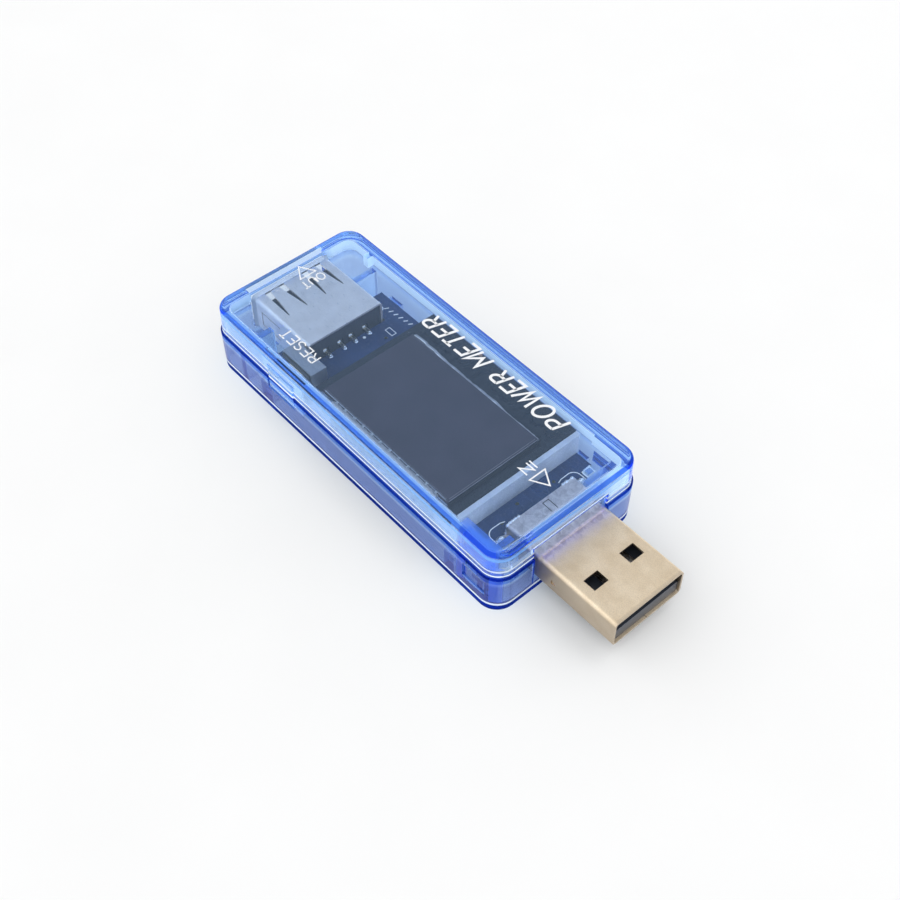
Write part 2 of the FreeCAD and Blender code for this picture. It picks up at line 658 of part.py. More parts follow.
def make_socket_shell():
    body = new_body("socket_shell")
    half, tall = s.socket_width / 2, s.socket_height / 2
    flare_start = s.socket_mouth + s.mouth_flare

    def section(x, shrink, corner):
        sketch = new_sketch(body, "YZ_Plane", x)
        y_range = around(as_size(0), half - shrink)
        draw_rounded(sketch, y_range, around(s.socket_centre, tall - shrink), corner)
        return sketch

    add_feature(body, "Pad", section(flare_start, 0, 0.6), s.socket_rear - flare_start, True)
    add_feature(body, "Pad", section(flare_start, 0, 0.6), s.mouth_flare, False, s.flare_angle)
    inner = section(flare_start, s.sheet_metal, 0.3)
    add_feature(body, "Pocket", inner, s.socket_rear - flare_start, True)
    inner = section(flare_start, s.sheet_metal, 0.3)
    add_feature(body, "Pocket", inner, s.mouth_flare, False, s.flare_angle)

    # spring tongues in the top: each is what two wedge-shaped slits and a short cross slit leave standing
    top = s.socket_centre + tall
    for middle in (s.spring_offset, -s.spring_offset):
        for side in (1, -1):
            slit = new_sketch(body, "XY_Plane", top + 0.1)
            outer = middle + side * 1.65
            draw_polygon(slit, [
                (s.spring_root, outer),
                (s.spring_tip - 0.15, outer),
                (s.spring_tip - 0.15, middle),
                (s.spring_tip, middle),
                (s.spring_tip, middle + side * 0.7),
                (s.spring_root, middle + side * 1.5),
            ])
            add_feature(body, "Pocket", slit, s.sheet_metal + 0.2, False)
        press = new_sketch(body, "XY_Plane", top)
        draw_circle(press, s.spring_tip + 0.75, middle, 0.4)
        add_feature(body, "Pocket", press, 0.12, False)

    # two narrower tongues in the bottom, cut free by thin slits on three sides
    under = (s.socket_centre - tall - 0.1, s.socket_centre - tall + s.sheet_metal + 0.1)
    for middle in (s.spring_offset, -s.spring_offset):
        for side in (1, -1):
            edge = middle + side * 1.3
            cut_block(body, (s.spring_tip + 1, s.spring_root), (edge - 0.05, edge + 0.05), under)
        cut_block(body, (s.spring_tip + 0.9, s.spring_tip + 1), (middle - 1.35, middle + 1.35), under)

    # one spring tongue in each side
    for y_range in mirrored(half - s.sheet_metal - 0.1, half + 0.1):
        cut_block(body, (-33.0, -28.6), y_range, (4.75, 4.95))
        cut_block(body, (-33.0, -28.6), y_range, (7.15, 7.35))
        cut_block(body, (-33.0, -32.8), y_range, (4.75, 7.35))

    # tabs soldered to the board's arms
    for y_range in mirrored(half - 0.05, 8.0):
        add_block(body, (-25.6, -23.8), y_range, (board_top + 0.02, board_top + 0.32))


def make_socket_insulator():
    body = new_body("socket_insulator")
    half = s.socket_width / 2 - s.sheet_metal - 0.04
    low = s.socket_centre - s.socket_height / 2 + s.sheet_metal + 0.03
    high = s.socket_centre + s.socket_height / 2 - s.sheet_metal - 0.03
    rear = s.socket_rear - 0.1
    tongue_low = s.socket_tongue_low
    add_block(body, (rear - 2.2, rear), (-half, half), (low, high))

    def long_corner(edge):
        return edge.BoundBox.XLength > 2

    round_edges(body, 0.3, long_corner)
    add_block(body, (-33.6, rear - 2.1), (-5.55, 5.55), (tongue_low, tongue_low + s.socket_tongue))

    def nose(edge):
        box = edge.BoundBox
        return box.XMax < -33.5 and box.YLength > 5

    round_edges(body, 0.4, nose)
    for middle in contact_rows():
        y_range = around(middle, s.contact_width / 2 + 0.05)
        cut_block(body, (-32.8, rear - 0.3), y_range, (tongue_low - 0.05, tongue_low + 0.3))
        cut_block(body, (rear - 0.75, rear + 0.1), y_range, (low + 1.7, tongue_low + 0.3))


def make_socket_contacts():
    top = s.socket_tongue_low + 0.25
    step = s.socket_rear - 0.5
    tail_low = board_top + 0.03
    strips = []
    for index, middle in enumerate(contact_rows()):
        y_range = around(middle, s.contact_width / 2)
        blade = part_box(f"socket_blade_{index}", (-32.6, step), y_range, (top - s.contact_sheet, top))
        bow = part_box(f"socket_bow_{index}", (-31.0, -29.4), y_range, (5.98, top - 0.1))
        drop = part_box(f"socket_drop_{index}", (step - s.contact_sheet, step), y_range, (tail_low, top))
        tail = part_box(f"socket_tail_{index}", (step - s.contact_sheet, -21.1), around(middle, 0.3),
                        (tail_low, tail_low + s.contact_sheet))
        strips.append(fuse_all(f"socket_contact_{index}", [blade, bow, drop, tail]))
    keep("socket_contacts", group_all("socket_contacts", strips))


# ---- display --------------------------------------------------------------------------------------

PIN_COUNT = 12
film_low = s.guide_top + s.glue_line
rear_glass_low = film_low + s.film_thickness + s.glue_line
rear_glass_top = rear_glass_low + s.glass_thickness
front_glass_low = rear_glass_top + s.glue_line
front_glass_top = front_glass_low + s.glass_thickness
cover_film_low = front_glass_top + s.glue_line
cover_film_top = cover_film_low + s.film_thickness


def make_light_guide():
    body = new_body("light_guide")
    half = s.guide_half_width
    low = board_top + 0.03
    add_block(body, (s.guide_rear, s.guide_front), (-half, half), (low, s.guide_top))
    add_block(body, (s.guide_front - s.guide_rim, s.guide_front), (-half, half),
              (s.guide_top - 0.5, s.guide_rim_top))

    def upright(edge):
        return edge.BoundBox.ZLength > 2.4

    round_edges(body, 0.25, upright)

    # foot at the near end of the rim
    add_block(body, (s.guide_front - 0.3, s.guide_front + 1.3), (-half, -8.9), (low, 6.6))

    def inner_corner(edge):
        box = edge.BoundBox
        level = abs(box.XMax - s.guide_front.value) < 1e-3 and abs(box.YMax + 8.9) < 1e-3
        return level and abs(box.ZLength - (6.6 - low.value)) < 1e-3 and box.XLength < 1e-3

    round_edges(body, 0.6, inner_corner)

    # channel for the display pins
    last_pin = s.pin_first + s.pin_pitch * (PIN_COUNT - 1)
    cut_block(body, (s.pin_first - 0.7, last_pin + 0.7), (-half - 1, s.pin_row + 0.35), (low, s.guide_top))
    # pockets for the two lamps
    for middle in LED_ROWS:
        cut_block(body, (s.guide_rear - 1, s.guide_rear + 1.25), around(as_size(middle), 1.7), (low, 6.75))


LED_ROWS = (-4.5, 4.5)


def make_backlight_leds():
    lamps = []
    for index, middle in enumerate(LED_ROWS):
        y_range = around(as_size(middle), 1.55)
        base = part_box(f"led_base_{index}", (s.guide_rear + 0.1, s.guide_rear + 0.7), y_range,
                        (board_top + 0.03, 6.6))
        lens = part_box(f"led_lens_{index}", (s.guide_rear + 0.6, s.guide_rear + 1.1),
                        around(as_size(middle), 1.3), (board_top + 0.15, 6.5))
        lamps.append(fuse_all(f"led_{index}", [base, lens]))
    keep("backlight_leds", group_all("backlight_leds", lamps))


def make_display_layers():
    inset = s.film_inset
    rear_x = (s.rear_glass_rear, s.rear_glass_front)
    rear_y = (-s.rear_glass_half_width, s.rear_glass_half_width)
    front_x = (s.front_glass_rear, s.front_glass_front)
    front_y = (s.front_glass_near, s.front_glass_far)
    plates = {
        "lcd_rear_glass": (rear_x, rear_y, (rear_glass_low, rear_glass_top)),
        "lcd_front_glass": (front_x, front_y, (front_glass_low, front_glass_top)),
    }
    end = s.film_end_inset
    films = {
        "lcd_rear_polariser": ((rear_x[0] + inset, rear_x[1] - inset), (-9.6, 9.6), film_low),
        "lcd_front_polariser": ((front_x[0] + end, front_x[1] - end), (front_y[0] + end, front_y[1] - inset),
                                cover_film_low),
    }
    for name, (x_range, y_range, z_range) in plates.items():
        keep(name, part_box(name, x_range, y_range, z_range))
    for name, (x_range, y_range, low) in films.items():
        keep(name, part_box(name, x_range, y_range, (low, low + s.film_thickness)))


def make_lcd_pins():
    """Each pin is a spring clip on the edge of the glass, with a leg that steps inwards to the board."""
    outside = -s.rear_glass_half_width - s.pin_sheet - 0.05
    sheet = s.pin_sheet
    pins = []
    for index in range(PIN_COUNT):
        x_range = around(s.pin_first + s.pin_pitch * index, s.pin_width / 2)
        finger = (outside, s.finger_tip), (cover_film_top + 0.01, cover_film_top + 0.01 + sheet)
        back = (outside, outside + sheet), (7.35, cover_film_top + 0.01 + sheet)
        support = (outside, outside + 0.5), (rear_glass_low - 0.01 - sheet, rear_glass_low - 0.01)
        step = (outside, s.pin_row + sheet / 2), (7.35, 7.35 + sheet)
        leg = (s.pin_row - sheet / 2, s.pin_row + sheet / 2), (3.5, 7.35 + sheet)
        pieces = [
            part_box(f"pin_{index}_{number}", x_range, y_range, z_range)
            for number, (y_range, z_range) in enumerate((finger, back, support, step, leg))
        ]
        pins.append(fuse_all(f"pin_{index}", pieces))
    keep("lcd_pins", group_all("lcd_pins", pins))


def make_pin_sealant():
    """A half-round bead over the pins, with the pins' own shape taken out of it."""
    bead = doc.addObject("Part::Cylinder", "sealant_bar")
    bind(bead, "Radius", s.bead_radius)
    length = s.front_glass_front - s.front_glass_rear - 1.0
    bind(bead, "Height", length)
    bead.Placement.Rotation = FreeCAD.Rotation(FreeCAD.Vector(0, 1, 0), 90)
    bind(bead, "Placement.Base.x", s.front_glass_rear + 0.5)
    bind(bead, "Placement.Base.y", s.bead_row)
    bind(bead, "Placement.Base.z", cover_film_top + 0.01)
    below = part_box("sealant_trim", (-20, 20), (-13, -8), (cover_film_top - 2, cover_film_top + 0.01))
    half_round = cut_from("sealant_half", bead, below)
    keep("pin_sealant", cut_from("pin_sealant", half_round, nodes["lcd_pins"]))


# ---- reset button and switch ----------------------------------------------------------------------

def make_reset_button():
    body = new_body("reset_button")
    flange_out = s.flange_pocket + 0.08
    flange_in = flange_out + s.flange_thickness
    face_x = around(s.button_x, s.button_hole_half - s.button_gap)
    face_z = (s.button_hole_low + s.button_gap, s.button_hole_high - s.button_gap)
    add_block(body, face_x, (s.button_face, flange_out + 0.2), face_z)

    def face_rim(edge):
        return edge.BoundBox.YMax < s.button_face.value + 1e-3

    round_edges(body, 0.3, face_rim)
    flange_x = around(s.button_x, s.flange_half)
    add_block(body, flange_x, (flange_out, flange_in),
              (face_z[0] - s.flange_margin, face_z[1] + s.flange_margin))
    nub_tip = s.plunger_tip - 0.04
    nub_z = (s.plunger_low - 0.1, s.plunger_high + 0.1)
    add_block(body, around(s.button_x, 1.6), (flange_in - 0.2, nub_tip), nub_z)


def make_switch():
    x_range = around(s.button_x, s.switch_half_length)
    y_range = (s.switch_front, s.switch_front + s.switch_depth)
    low, high = board_top + 0.02, board_top + s.switch_height
    housing = part_box("switch_block", x_range, y_range, (low, high))
    gap = s.plunger_gap
    plunger_back = s.switch_front + 1.3
    bore = part_box("switch_bore", around(s.button_x, s.plunger_half + gap),
                    (s.switch_front - 1, plunger_back + s.press_travel + 0.1),
                    (s.plunger_low - gap, s.plunger_high + gap))
    keep("switch_body", cut_from("switch_body", housing, bore))

    body = new_body("switch_plunger")
    add_block(body, around(s.button_x, s.plunger_half), (s.plunger_tip, plunger_back),
              (s.plunger_low, s.plunger_high))

    def tip_rim(edge):
        return edge.BoundBox.YMax < s.plunger_tip.value + 1e-3

    round_edges(body, 0.2, tip_rim)

    sheet = s.contact_sheet
    outer = part_box("frame_outer", around(s.button_x, s.switch_half_length + 0.02 + sheet),
                     (y_range[0] + 0.3, y_range[1] - 0.1), (low + 0.4, high + 0.02 + sheet))
    inner = part_box("frame_inner", around(s.button_x, s.switch_half_length + 0.02),
                     (y_range[0] - 1, y_range[1] + 1), (low - 1, high + 0.02))
    keep("switch_frame", cut_from("switch_frame", outer, inner))

    reach = s.switch_half_length + 0.3
    terminals = []
    for index, side in enumerate((1, -1)):
        ends = [s.button_x + side * reach, s.button_x + side * (reach + 1.0)]
        ends.sort(key=lambda end: end.value)
        terminals.append(part_box(f"switch_terminal_{index}", ends, (-9.3, -8.2),
                                  (board_top + 0.02, board_top + 0.02 + sheet)))
    keep("switch_terminals", group_all("switch_terminals", terminals))


# ---- parts soldered under the board ---------------------------------------------------------------

def make_chip(name, centre, length, width, height, leads, pitch, reach):
    """A moulded package with a row of bent leads along each long side, hanging from the board's underside."""
    x, y = centre
    top = s.board_under - s.chip_gap
    body = new_body(name)
    add_block(body, (x - length / 2, x + length / 2), (y - width / 2, y + width / 2), (top - height, top))
    round_edges(body, 0.12, lambda edge: True, "Chamfer")

    # pin-one dimple
    dimple = new_sketch(body, "XY_Plane", top - height)
    draw_circle(dimple, x - length / 2 + 0.7, y - width / 2 + 0.7, 0.3)
    add_feature(body, "Pocket", dimple, 0.1, True)

    shoulder = top - height * 0.55
    foot_top = s.board_under - 0.03
    legs = []
    for side in (1, -1):
        for index in range(leads):
            middle = as_size(x + (index - (leads - 1) / 2) * pitch)
            x_range = around(middle, pitch * 0.17)
            inner, knee, outer = [y + side * (width / 2 + step) for step in (0.01, 0.35, reach)]
            spans = (
                (sorted((inner, knee)), (shoulder - s.lead_sheet, shoulder)),
                (sorted((knee - side * 0.2, knee)), (shoulder - s.lead_sheet, foot_top)),
                (sorted((knee - side * 0.2, outer)), (foot_top - s.lead_sheet, foot_top)),
            )
            pieces = [
                part_box(f"{name}_lead_{side}_{index}_{number}", x_range, y_range, z_range)
                for number, (y_range, z_range) in enumerate(spans)
            ]
            legs.append(fuse_all(f"{name}_lead_{side}_{index}", pieces))
    keep(f"{name}_leads", group_all(f"{name}_leads", legs))


def make_regulator():
    """A small three-lead voltage regulator with a wide tab."""
    x, y = 8.6, 4.6
    top = s.board_under - 0.06
    foot = (top - s.lead_sheet, top)
    body = new_body("voltage_regulator")
    add_block(body, (x - 2.25, x + 2.25), (y - 1.25, y + 1.25), (top - 1.5, top - s.lead_sheet - 0.02))
    round_edges(body, 0.15, lambda edge: True, "Chamfer")
    feet = [part_box("regulator_tab", (x - 0.8, x + 0.8), (y - 1.0, y + 2.1), foot)]
    for index, offset in enumerate((-1.5, 0, 1.5)):
        foot_x = (x + offset - 0.22, x + offset + 0.22)
        feet.append(part_box(f"regulator_foot_{index}", foot_x, (y - 2.2, y - 1.1), foot))
    keep("voltage_regulator_leads", group_all("voltage_regulator_leads", feet))


CAPACITOR_PLACES = ((-14.0, 6.4), (-14.0, -1.2), (4.2, 6.6), (12.6, 0.4), (13.0, 6.9), (-4.6, -5.4))
RESISTOR_PLACES = ((-18.6, 6.6), (-18.6, 3.4), (-10.4, -5.6), (0.6, -5.9), (3.4, -5.9), (-8.0, 7.6))


def make_passives():
    """Chip capacitors, chip resistors and the tinned caps on the ends of both."""
    top = s.board_under - 0.05
    kinds = {
        "chip_capacitors": (CAPACITOR_PLACES, 1.3, 1.2, 0.85),
        "chip_resistors": (RESISTOR_PLACES, 1.0, 0.8, 0.35),
    }
    caps = []
    for name, (places, length, width, height) in kinds.items():
        bodies = []
        for index, (x, y) in enumerate(places):
            bodies.append(part_box(f"{name}_{index}", (x - length / 2, x + length / 2),
                                   (y - width / 2, y + width / 2), (top - height, top)))
            for side in (1, -1):
                ends = sorted((x + side * (length / 2 + 0.01), x + side * (length / 2 + 0.36)))
                caps.append(part_box(f"{name}_cap_{index}_{side}", ends, (y - width / 2, y + width / 2),
                                     (top - height - 0.02, top + 0.02)))
        keep(name, group_all(name, bodies))
    keep("component_end_caps", group_all("component_end_caps", caps))


def make_current_shunt():
    """The low-value metal strip that the measured current flows through."""
    body = new_body("current_shunt")
    top = s.board_under - 0.04
    add_block(body, (5.4, 11.7), (-4.4, -1.2), (top - 0.65, top))
    cut_block(body, (7.0, 10.1), (-5, 0), (top - 0.1, top))
    round_edges(body, 0.1, at_height(top - 0.65), "Chamfer")


# ---- build, check and write -----------------------------------------------------------------------

def check_and_write():
    doc.recompute()
    for item in doc.Objects:
        bad = [state for state in item.State if state in ("Invalid", "Error")]
        if bad:
            raise RuntimeError(f"{item.Name} is {bad}")
    os.makedirs("parts", exist_ok=True)
    for name, item in nodes.items():
        shape = item.Shape
        if shape.isNull() or not shape.isValid():
            raise RuntimeError(f"{name} has no valid shape")
        shape.exportStep(f"parts/{name}.step")
        print(f"{name}: {len(shape.Solids)} solid(s), {shape.Volume:.2f} mm3")


make_lower_case()
make_upper_case()
make_circuit_board()
make_plug_shell()
make_plug_insulator()
make_plug_contacts()
make_socket_shell()
make_socket_insulator()
make_socket_contacts()
make_light_guide()
make_backlight_leds()
make_display_layers()
make_lcd_pins()
make_pin_sealant()
make_reset_button()
make_switch()
make_chip("microcontroller", (-2.2, 1.2), 7.2, 5.3, 1.6, 10, 0.65, 1.2)
make_chip("memory_chip", (-11.0, 2.6), 4.9, 3.9, 1.45, 4, 1.27, 1.0)
make_regulator()
make_passives()
make_current_shunt()
check_and_write()
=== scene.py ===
import math
import random

import bmesh
import bpy
from mathutils import Matrix, Vector


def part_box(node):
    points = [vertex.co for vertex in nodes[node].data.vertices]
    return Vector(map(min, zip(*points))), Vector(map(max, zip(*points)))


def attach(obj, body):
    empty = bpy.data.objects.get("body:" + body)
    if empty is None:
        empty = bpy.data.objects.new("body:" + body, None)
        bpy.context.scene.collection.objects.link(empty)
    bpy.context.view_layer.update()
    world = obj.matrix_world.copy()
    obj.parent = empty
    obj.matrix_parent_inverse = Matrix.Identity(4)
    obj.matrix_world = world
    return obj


MM = 0.001
CRISP_ANGLE = 35    # degrees: sharper edges are bevelled, or shaded as edges
LUMPY_ANGLE = 60    # the same for solder and glue, whose lumps stay smooth

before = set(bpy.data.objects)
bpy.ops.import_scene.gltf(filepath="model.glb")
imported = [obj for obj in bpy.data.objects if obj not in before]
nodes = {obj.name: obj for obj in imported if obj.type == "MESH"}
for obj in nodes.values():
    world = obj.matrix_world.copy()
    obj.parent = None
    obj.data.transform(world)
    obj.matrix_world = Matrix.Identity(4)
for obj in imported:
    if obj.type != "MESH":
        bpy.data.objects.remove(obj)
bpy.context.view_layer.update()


# ---- small tools ---------------------------------------------------------------------------------

def span(node):
    """A CAD node's lowest and highest corner in millimetres."""
    low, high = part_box(node)
    return low / MM, high / MM


class Shader:
    """A material's node tree, built one node at a time. Lengths inside it are in millimetres."""

    def __init__(self, name):
        self.material = bpy.data.materials.new(name)
        self.material.use_nodes = True
        self.tree = self.material.node_tree
        self.tree.nodes.clear()
        self.end = self.tree.nodes.new("ShaderNodeOutputMaterial")
        self._place = None

    def node(self, kind, inputs=None, **settings):
        made = self.tree.nodes.new("ShaderNode" + kind)
        for key, value in settings.items():
            setattr(made, key, value)
        for key, value in (inputs or {}).items():
            self.put(made.inputs[key], value)
        return made

    def put(self, socket, value):
        if isinstance(value, bpy.types.NodeSocket):
            self.tree.links.new(value, socket)
        elif isinstance(value, bpy.types.Node):
            self.tree.links.new(value.outputs[0], socket)
        elif isinstance(value, tuple) and len(value) == 3 and socket.type == "RGBA":
            socket.default_value = (*value, 1.0)
        else:
            socket.default_value = value

    def place(self):
        """The point being shaded, in millimetres, in the part's own frame."""
        if self._place is None:
            where = self.node("NewGeometry")
            scaled = self.node("VectorMath", {0: where.outputs["Position"]}, operation="SCALE")
            scaled.inputs["Scale"].default_value = 1000.0
            self._place = scaled.outputs[0]
        return self._place

    def stretched(self, x, y, z):
        """The point with each axis scaled, for patterns that run one way."""
        return self.node("VectorMath", {0: self.place(), 1: (x, y, z)}, operation="MULTIPLY").outputs[0]

    def noise(self, scale, detail=3.0, roughness=0.5, vector=None, distortion=0.0):
        made = self.node("TexNoise", {"Scale": scale, "Detail": detail, "Roughness": roughness,
                                      "Distortion": distortion})
        self.put(made.inputs["Vector"], vector or self.place())
        return made.outputs["Fac"]

    def spots(self, scale, vector=None):
        made = self.node("TexVoronoi", {"Scale": scale})
        self.put(made.inputs["Vector"], vector or self.place())
        return made.outputs["Distance"]

    def ramp(self, factor, *stops):
        """A colour ramp through (position, colour or grey level) stops."""
        made = self.node("ValToRGB", {"Fac": factor})
        elements = made.color_ramp.elements
        while len(elements) < len(stops):
            elements.new(0.5)
        for element, (position, colour) in zip(elements, stops):
            if not isinstance(colour, tuple):
                colour = (colour, colour, colour)
            element.position = position
            element.color = (*colour, 1.0)
        return made.outputs["Color"]

    def fit(self, value, low, high, to_low=0.0, to_high=1.0, smooth=False):
        """Maps value from one range to another, clamped."""
        made = self.node("MapRange", {"From Min": low, "From Max": high, "To Min": to_low, "To Max": to_high})
        made.clamp = True
        if smooth:
            made.interpolation_type = "SMOOTHSTEP"
        self.put(made.inputs["Value"], value)
        return made.outputs[0]

    def math(self, operation, a, b=0.0):
        return self.node("Math", {0: a, 1: b}, operation=operation).outputs[0]

    def product(self, *factors):
        result = factors[0]
        for factor in factors[1:]:
            result = self.math("MULTIPLY", result, factor)
        return result

    def mix(self, factor, a, b):
        """A colour part of the way from a to b."""
        made = self.node("Mix", data_type="RGBA")
        self.put(made.inputs[0], factor)
        self.put(made.inputs[6], a)
        self.put(made.inputs[7], b)
        return made.outputs[2]

    def between(self, factor, first, second):
        """A shader part of the way from first to second."""
        return self.node("MixShader", {0: factor, 1: first, 2: second})

    def axis(self, name, vector=None):
        made = self.node("SeparateXYZ")
        self.put(made.inputs[0], vector or self.place())
        return made.outputs["XYZ".index(name)]

    def facing(self, name):
        """How far the surface's normal points along one axis, from -1 to 1."""
        where = self.node("NewGeometry")
        return self.axis(name, where.outputs["Normal"])

    def passing_ray(self):
        """1 for shadow and diffuse rays, which go straight through the clear pieces."""
        path = self.node("LightPath")
        return self.math("MAXIMUM", path.outputs["Is Shadow Ray"], path.outputs["Is Diffuse Ray"])

    def bump(self, height, strength, distance=0.02):
        """distance is the height of the relief, in millimetres."""
        made = self.node("Bump", {"Strength": strength, "Distance": distance * MM, "Height": height})
        return made.outputs[0]

    def surface(self, **inputs):
        """A Principled surface; underscores in the names stand for spaces."""
        named = {key.replace("_", " "): value for key, value in inputs.items()}
        made = self.node("BsdfPrincipled", named)
        self.tree.links.new(made.outputs[0], self.end.inputs["Surface"])
        return made


def paint(names, shader, bevel=0.0, segments=2):
    """Gives CAD nodes one material and, where asked, soft edges."""
    for name in names:
        item = nodes[name]
        item.data.materials.clear()
        item.data.materials.append(shader.material)
        if bevel:
            soften(item, bevel, segments)


def soften(item, width, segments):
    """Rounds an object's edges by width, in millimetres, with the faces' own shading kept flat."""
    bevel = item.modifiers.new("soft_edges", "BEVEL")
    bevel.width = width * MM
    bevel.segments = segments
    bevel.limit_method = "ANGLE"
    bevel.angle_limit = math.radians(CRISP_ANGLE)
    bevel.harden_normals = True
    bevel.use_clamp_overlap = True


def smooth(item, angle):
    """Smooth shading, with edges sharper than angle left crisp."""
    mesh = item.data
    for polygon in mesh.polygons:
        polygon.use_smooth = True
    work = bmesh.new()
    work.from_mesh(mesh)
    for edge in work.edges:
        edge.smooth = len(edge.link_faces) == 2 and edge.calc_face_angle(0) < math.radians(angle)
    work.to_mesh(mesh)
    work.free()


def add_piece(name, work, shader, angle=CRISP_ANGLE):
    """Turns a bmesh, built in millimetres, into a piece that rides on the case."""
    bmesh.ops.recalc_face_normals(work, faces=work.faces)
    bmesh.ops.scale(work, vec=(MM, MM, MM), verts=work.verts)
    mesh = bpy.data.meshes.new(name)
    work.to_mesh(mesh)
    work.free()
    item = bpy.data.objects.new(name, mesh)
    bpy.context.scene.collection.objects.link(item)
    mesh.materials.append(shader.material)
    smooth(item, angle)
    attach(item, "case")


def prism(work, outline, low, high, holes=()):
    """A flat plate of the given outline between two heights; holes are outlines inside it."""
    rings = [outline, *holes]
    for z in (low, high):
        edges = []
        for ring in rings:
            made = [work.verts.new((x, y, z)) for x, y in ring]
            edges += [work.edges.new(pair) for pair in zip(made, made[1:] + made[:1])]
        bmesh.ops.triangle_fill(work, edges=edges, use_beauty=True)
    work.verts.ensure_lookup_table()
    count = sum(len(ring) for ring in rings)
    base = len(work.verts) - 2 * count
    start = base
    for ring in rings:
        size = len(ring)
        for i in range(size):
            a, b = start + i, start + (i + 1) % size
            work.faces.new([work.verts[k] for k in (a, b, b + count, a + count)])
        start += size


def stroke(work, points, width, low, high, closed=False):
    """A line of constant width through the points, as a thin plate with mitred corners."""
    path = [Vector(p) for p in points]
    count = len(path)
    sides = ([], [])
    for i, here in enumerate(path):
        before = path[i - 1] if i or closed else None
        after = path[(i + 1) % count] if i < count - 1 or closed else None
        into = (here - before).normalized() if before is not None else (after - here).normalized()
        away = (after - here).normalized() if after is not None else into
        normal_in = Vector((-into.y, into.x))
        normal_out = Vector((-away.y, away.x))
        mitre = (normal_in + normal_out).normalized()
        reach = width / 2 / max(0.35, mitre.dot(normal_out))
        sides[0].append(here + mitre * reach)
        sides[1].append(here - mitre * reach)
    if closed:
        prism(work, sides[0], low, high, holes=[sides[1]])
    else:
        prism(work, sides[0] + sides[1][::-1], low, high)


# ---- letters: each has a width and a list of strokes, and is 1 high ------------------------------

def arc(cx, cy, rx, ry, start, end, steps):
    angles = [math.radians(start + (end - start) * i / steps) for i in range(steps + 1)]
    return [(cx + rx * math.cos(a), cy + ry * math.sin(a)) for a in angles]


BOWL = [(0.02, 0.98)] + arc(0.32, 0.73, 0.26, 0.25, 90, -90, 12) + [(0.02, 0.48)]
LETTERS = {
    "E": (0.56, [[(0.56, 1), (0, 1), (0, 0), (0.56, 0)], [(0, 0.52), (0.5, 0.52)]]),
    "I": (0.0, [[(0, 0), (0, 1)]]),
    "M": (0.78, [[(0, 0), (0, 1), (0.39, 0.3), (0.78, 1), (0.78, 0)]]),
    "N": (0.64, [[(0, 0), (0, 1), (0.64, 0), (0.64, 1)]]),
    "O": (0.76, [arc(0.38, 0.5, 0.38, 0.5, 0, 360, 28)]),
    "P": (0.58, [[(0, 0), (0, 1)], BOWL]),
    "R": (0.6, [[(0, 0), (0, 1)], BOWL, [(0.32, 0.48), (0.6, 0)]]),
    "S": (0.56, [arc(0.29, 0.75, 0.27, 0.25, 25, 180, 9) + arc(0.29, 0.75, 0.27, 0.25, 195, 270, 5)
                 + arc(0.27, 0.25, 0.29, 0.25, 90, -15, 8) + arc(0.27, 0.25, 0.29, 0.25, -30, -160, 8)]),
    "T": (0.62, [[(0, 1), (0.62, 1)], [(0.31, 1), (0.31, 0)]]),
    "U": (0.64, [[(0, 1), (0, 0.33)] + arc(0.32, 0.33, 0.32, 0.33, 180, 360, 14) + [(0.64, 1)]]),
    "W": (0.96, [[(0, 1), (0.24, 0), (0.48, 0.85), (0.72, 0), (0.96, 1)]]),
    " ": (0.34, []),
}
LETTER_GAP = 0.27


def text_width(text):
    return sum(LETTERS[letter][0] for letter in text) + LETTER_GAP * (len(text) - 1)


def print_text(work, text, start, reading, tops, height, length, weight, low, high, slant):
    """Prints text from start along the unit vector reading, with its letters' tops towards tops."""
    start, reading, tops = Vector(start), Vector(reading), Vector(tops)
    tops = tops + reading * slant
    stretch = length / text_width(text)
    cursor = 0.0
    for letter in text:
        width, strokes = LETTERS[letter]
        for path in strokes:
            placed = []
            for x, y in path:
                placed.append(start + reading * ((cursor + x) * stretch) + tops * (y * height))
            round_trip = (placed[0] - placed[-1]).length < 1e-6
            if round_trip:
                placed.pop()
            stroke(work, placed, weight, low, high, closed=round_trip)
        cursor += width + LETTER_GAP


# ---- materials -----------------------------------------------------------------------------------

CASE_LOW, CASE_HIGH = span("lower_case")
CASE_TOP = span("upper_case")[1].z
SEAM = 7.0              # height of the line where the shells meet
CORNER = 3.0            # radius of the case's corners, seen from above
PLUG_OPENING = 6.47     # half the width of the opening round the plug
PLASTIC_GLOW = 30.0     # PLASTIC_GLOW = 30.0 # painted glow inside the plastic, per metre, in place of light scattered in it

# colours painted on the clear case in place of light: pale highlights, azure and navy shade at edges, and a
# lighter far side
PAINTED_HIGHLIGHT_WHITE = (0.86, 0.95, 1.0)
AZURE = (0.20, 0.46, 1.0)
DEEP_BLUE = (0.07, 0.20, 0.78)
OPENING_NAVY = (0.10, 0.20, 0.68)
COVER_EDGE, FAR_COVER_EDGE = (0.12, 0.27, 0.78), (0.20, 0.36, 0.80)
INNER_MILK, FAR_INNER_MILK = (0.42, 0.68, 1.0), (0.74, 0.88, 1.0)

# painted shade and highlight bands on the outer faces: lowest height, highest height, softness, colour
PAINTED_LIGHT_BANDS = (
    (1.75, 5.20, 0.45, (0.68, 0.65, 0.77)),
    (SEAM - 1.00, SEAM - 0.50, 0.12, (0.46, 0.64, 1.00)),
    (SEAM - 0.42, SEAM + 0.01, 0.03, (0.04, 0.12, 0.55)),
    (0.12, 1.15, 0.08, (0.06, 0.15, 0.55)),
    (SEAM + 0.44, SEAM + 0.95, 0.05, (0.66, 0.76, 1.00)),
)
# painted highlights: thin pale lines above the seam and above the bottom edge: the same, with a strength for
# the colour
PAINTED_HIGHLIGHT_LINES = (
    (SEAM + 0.04, SEAM + 0.38, 0.02, 0.95),
    (SEAM + 1.02, SEAM + 1.26, 0.05, 0.6),
    (1.30, 1.62, 0.05, 0.8),
)


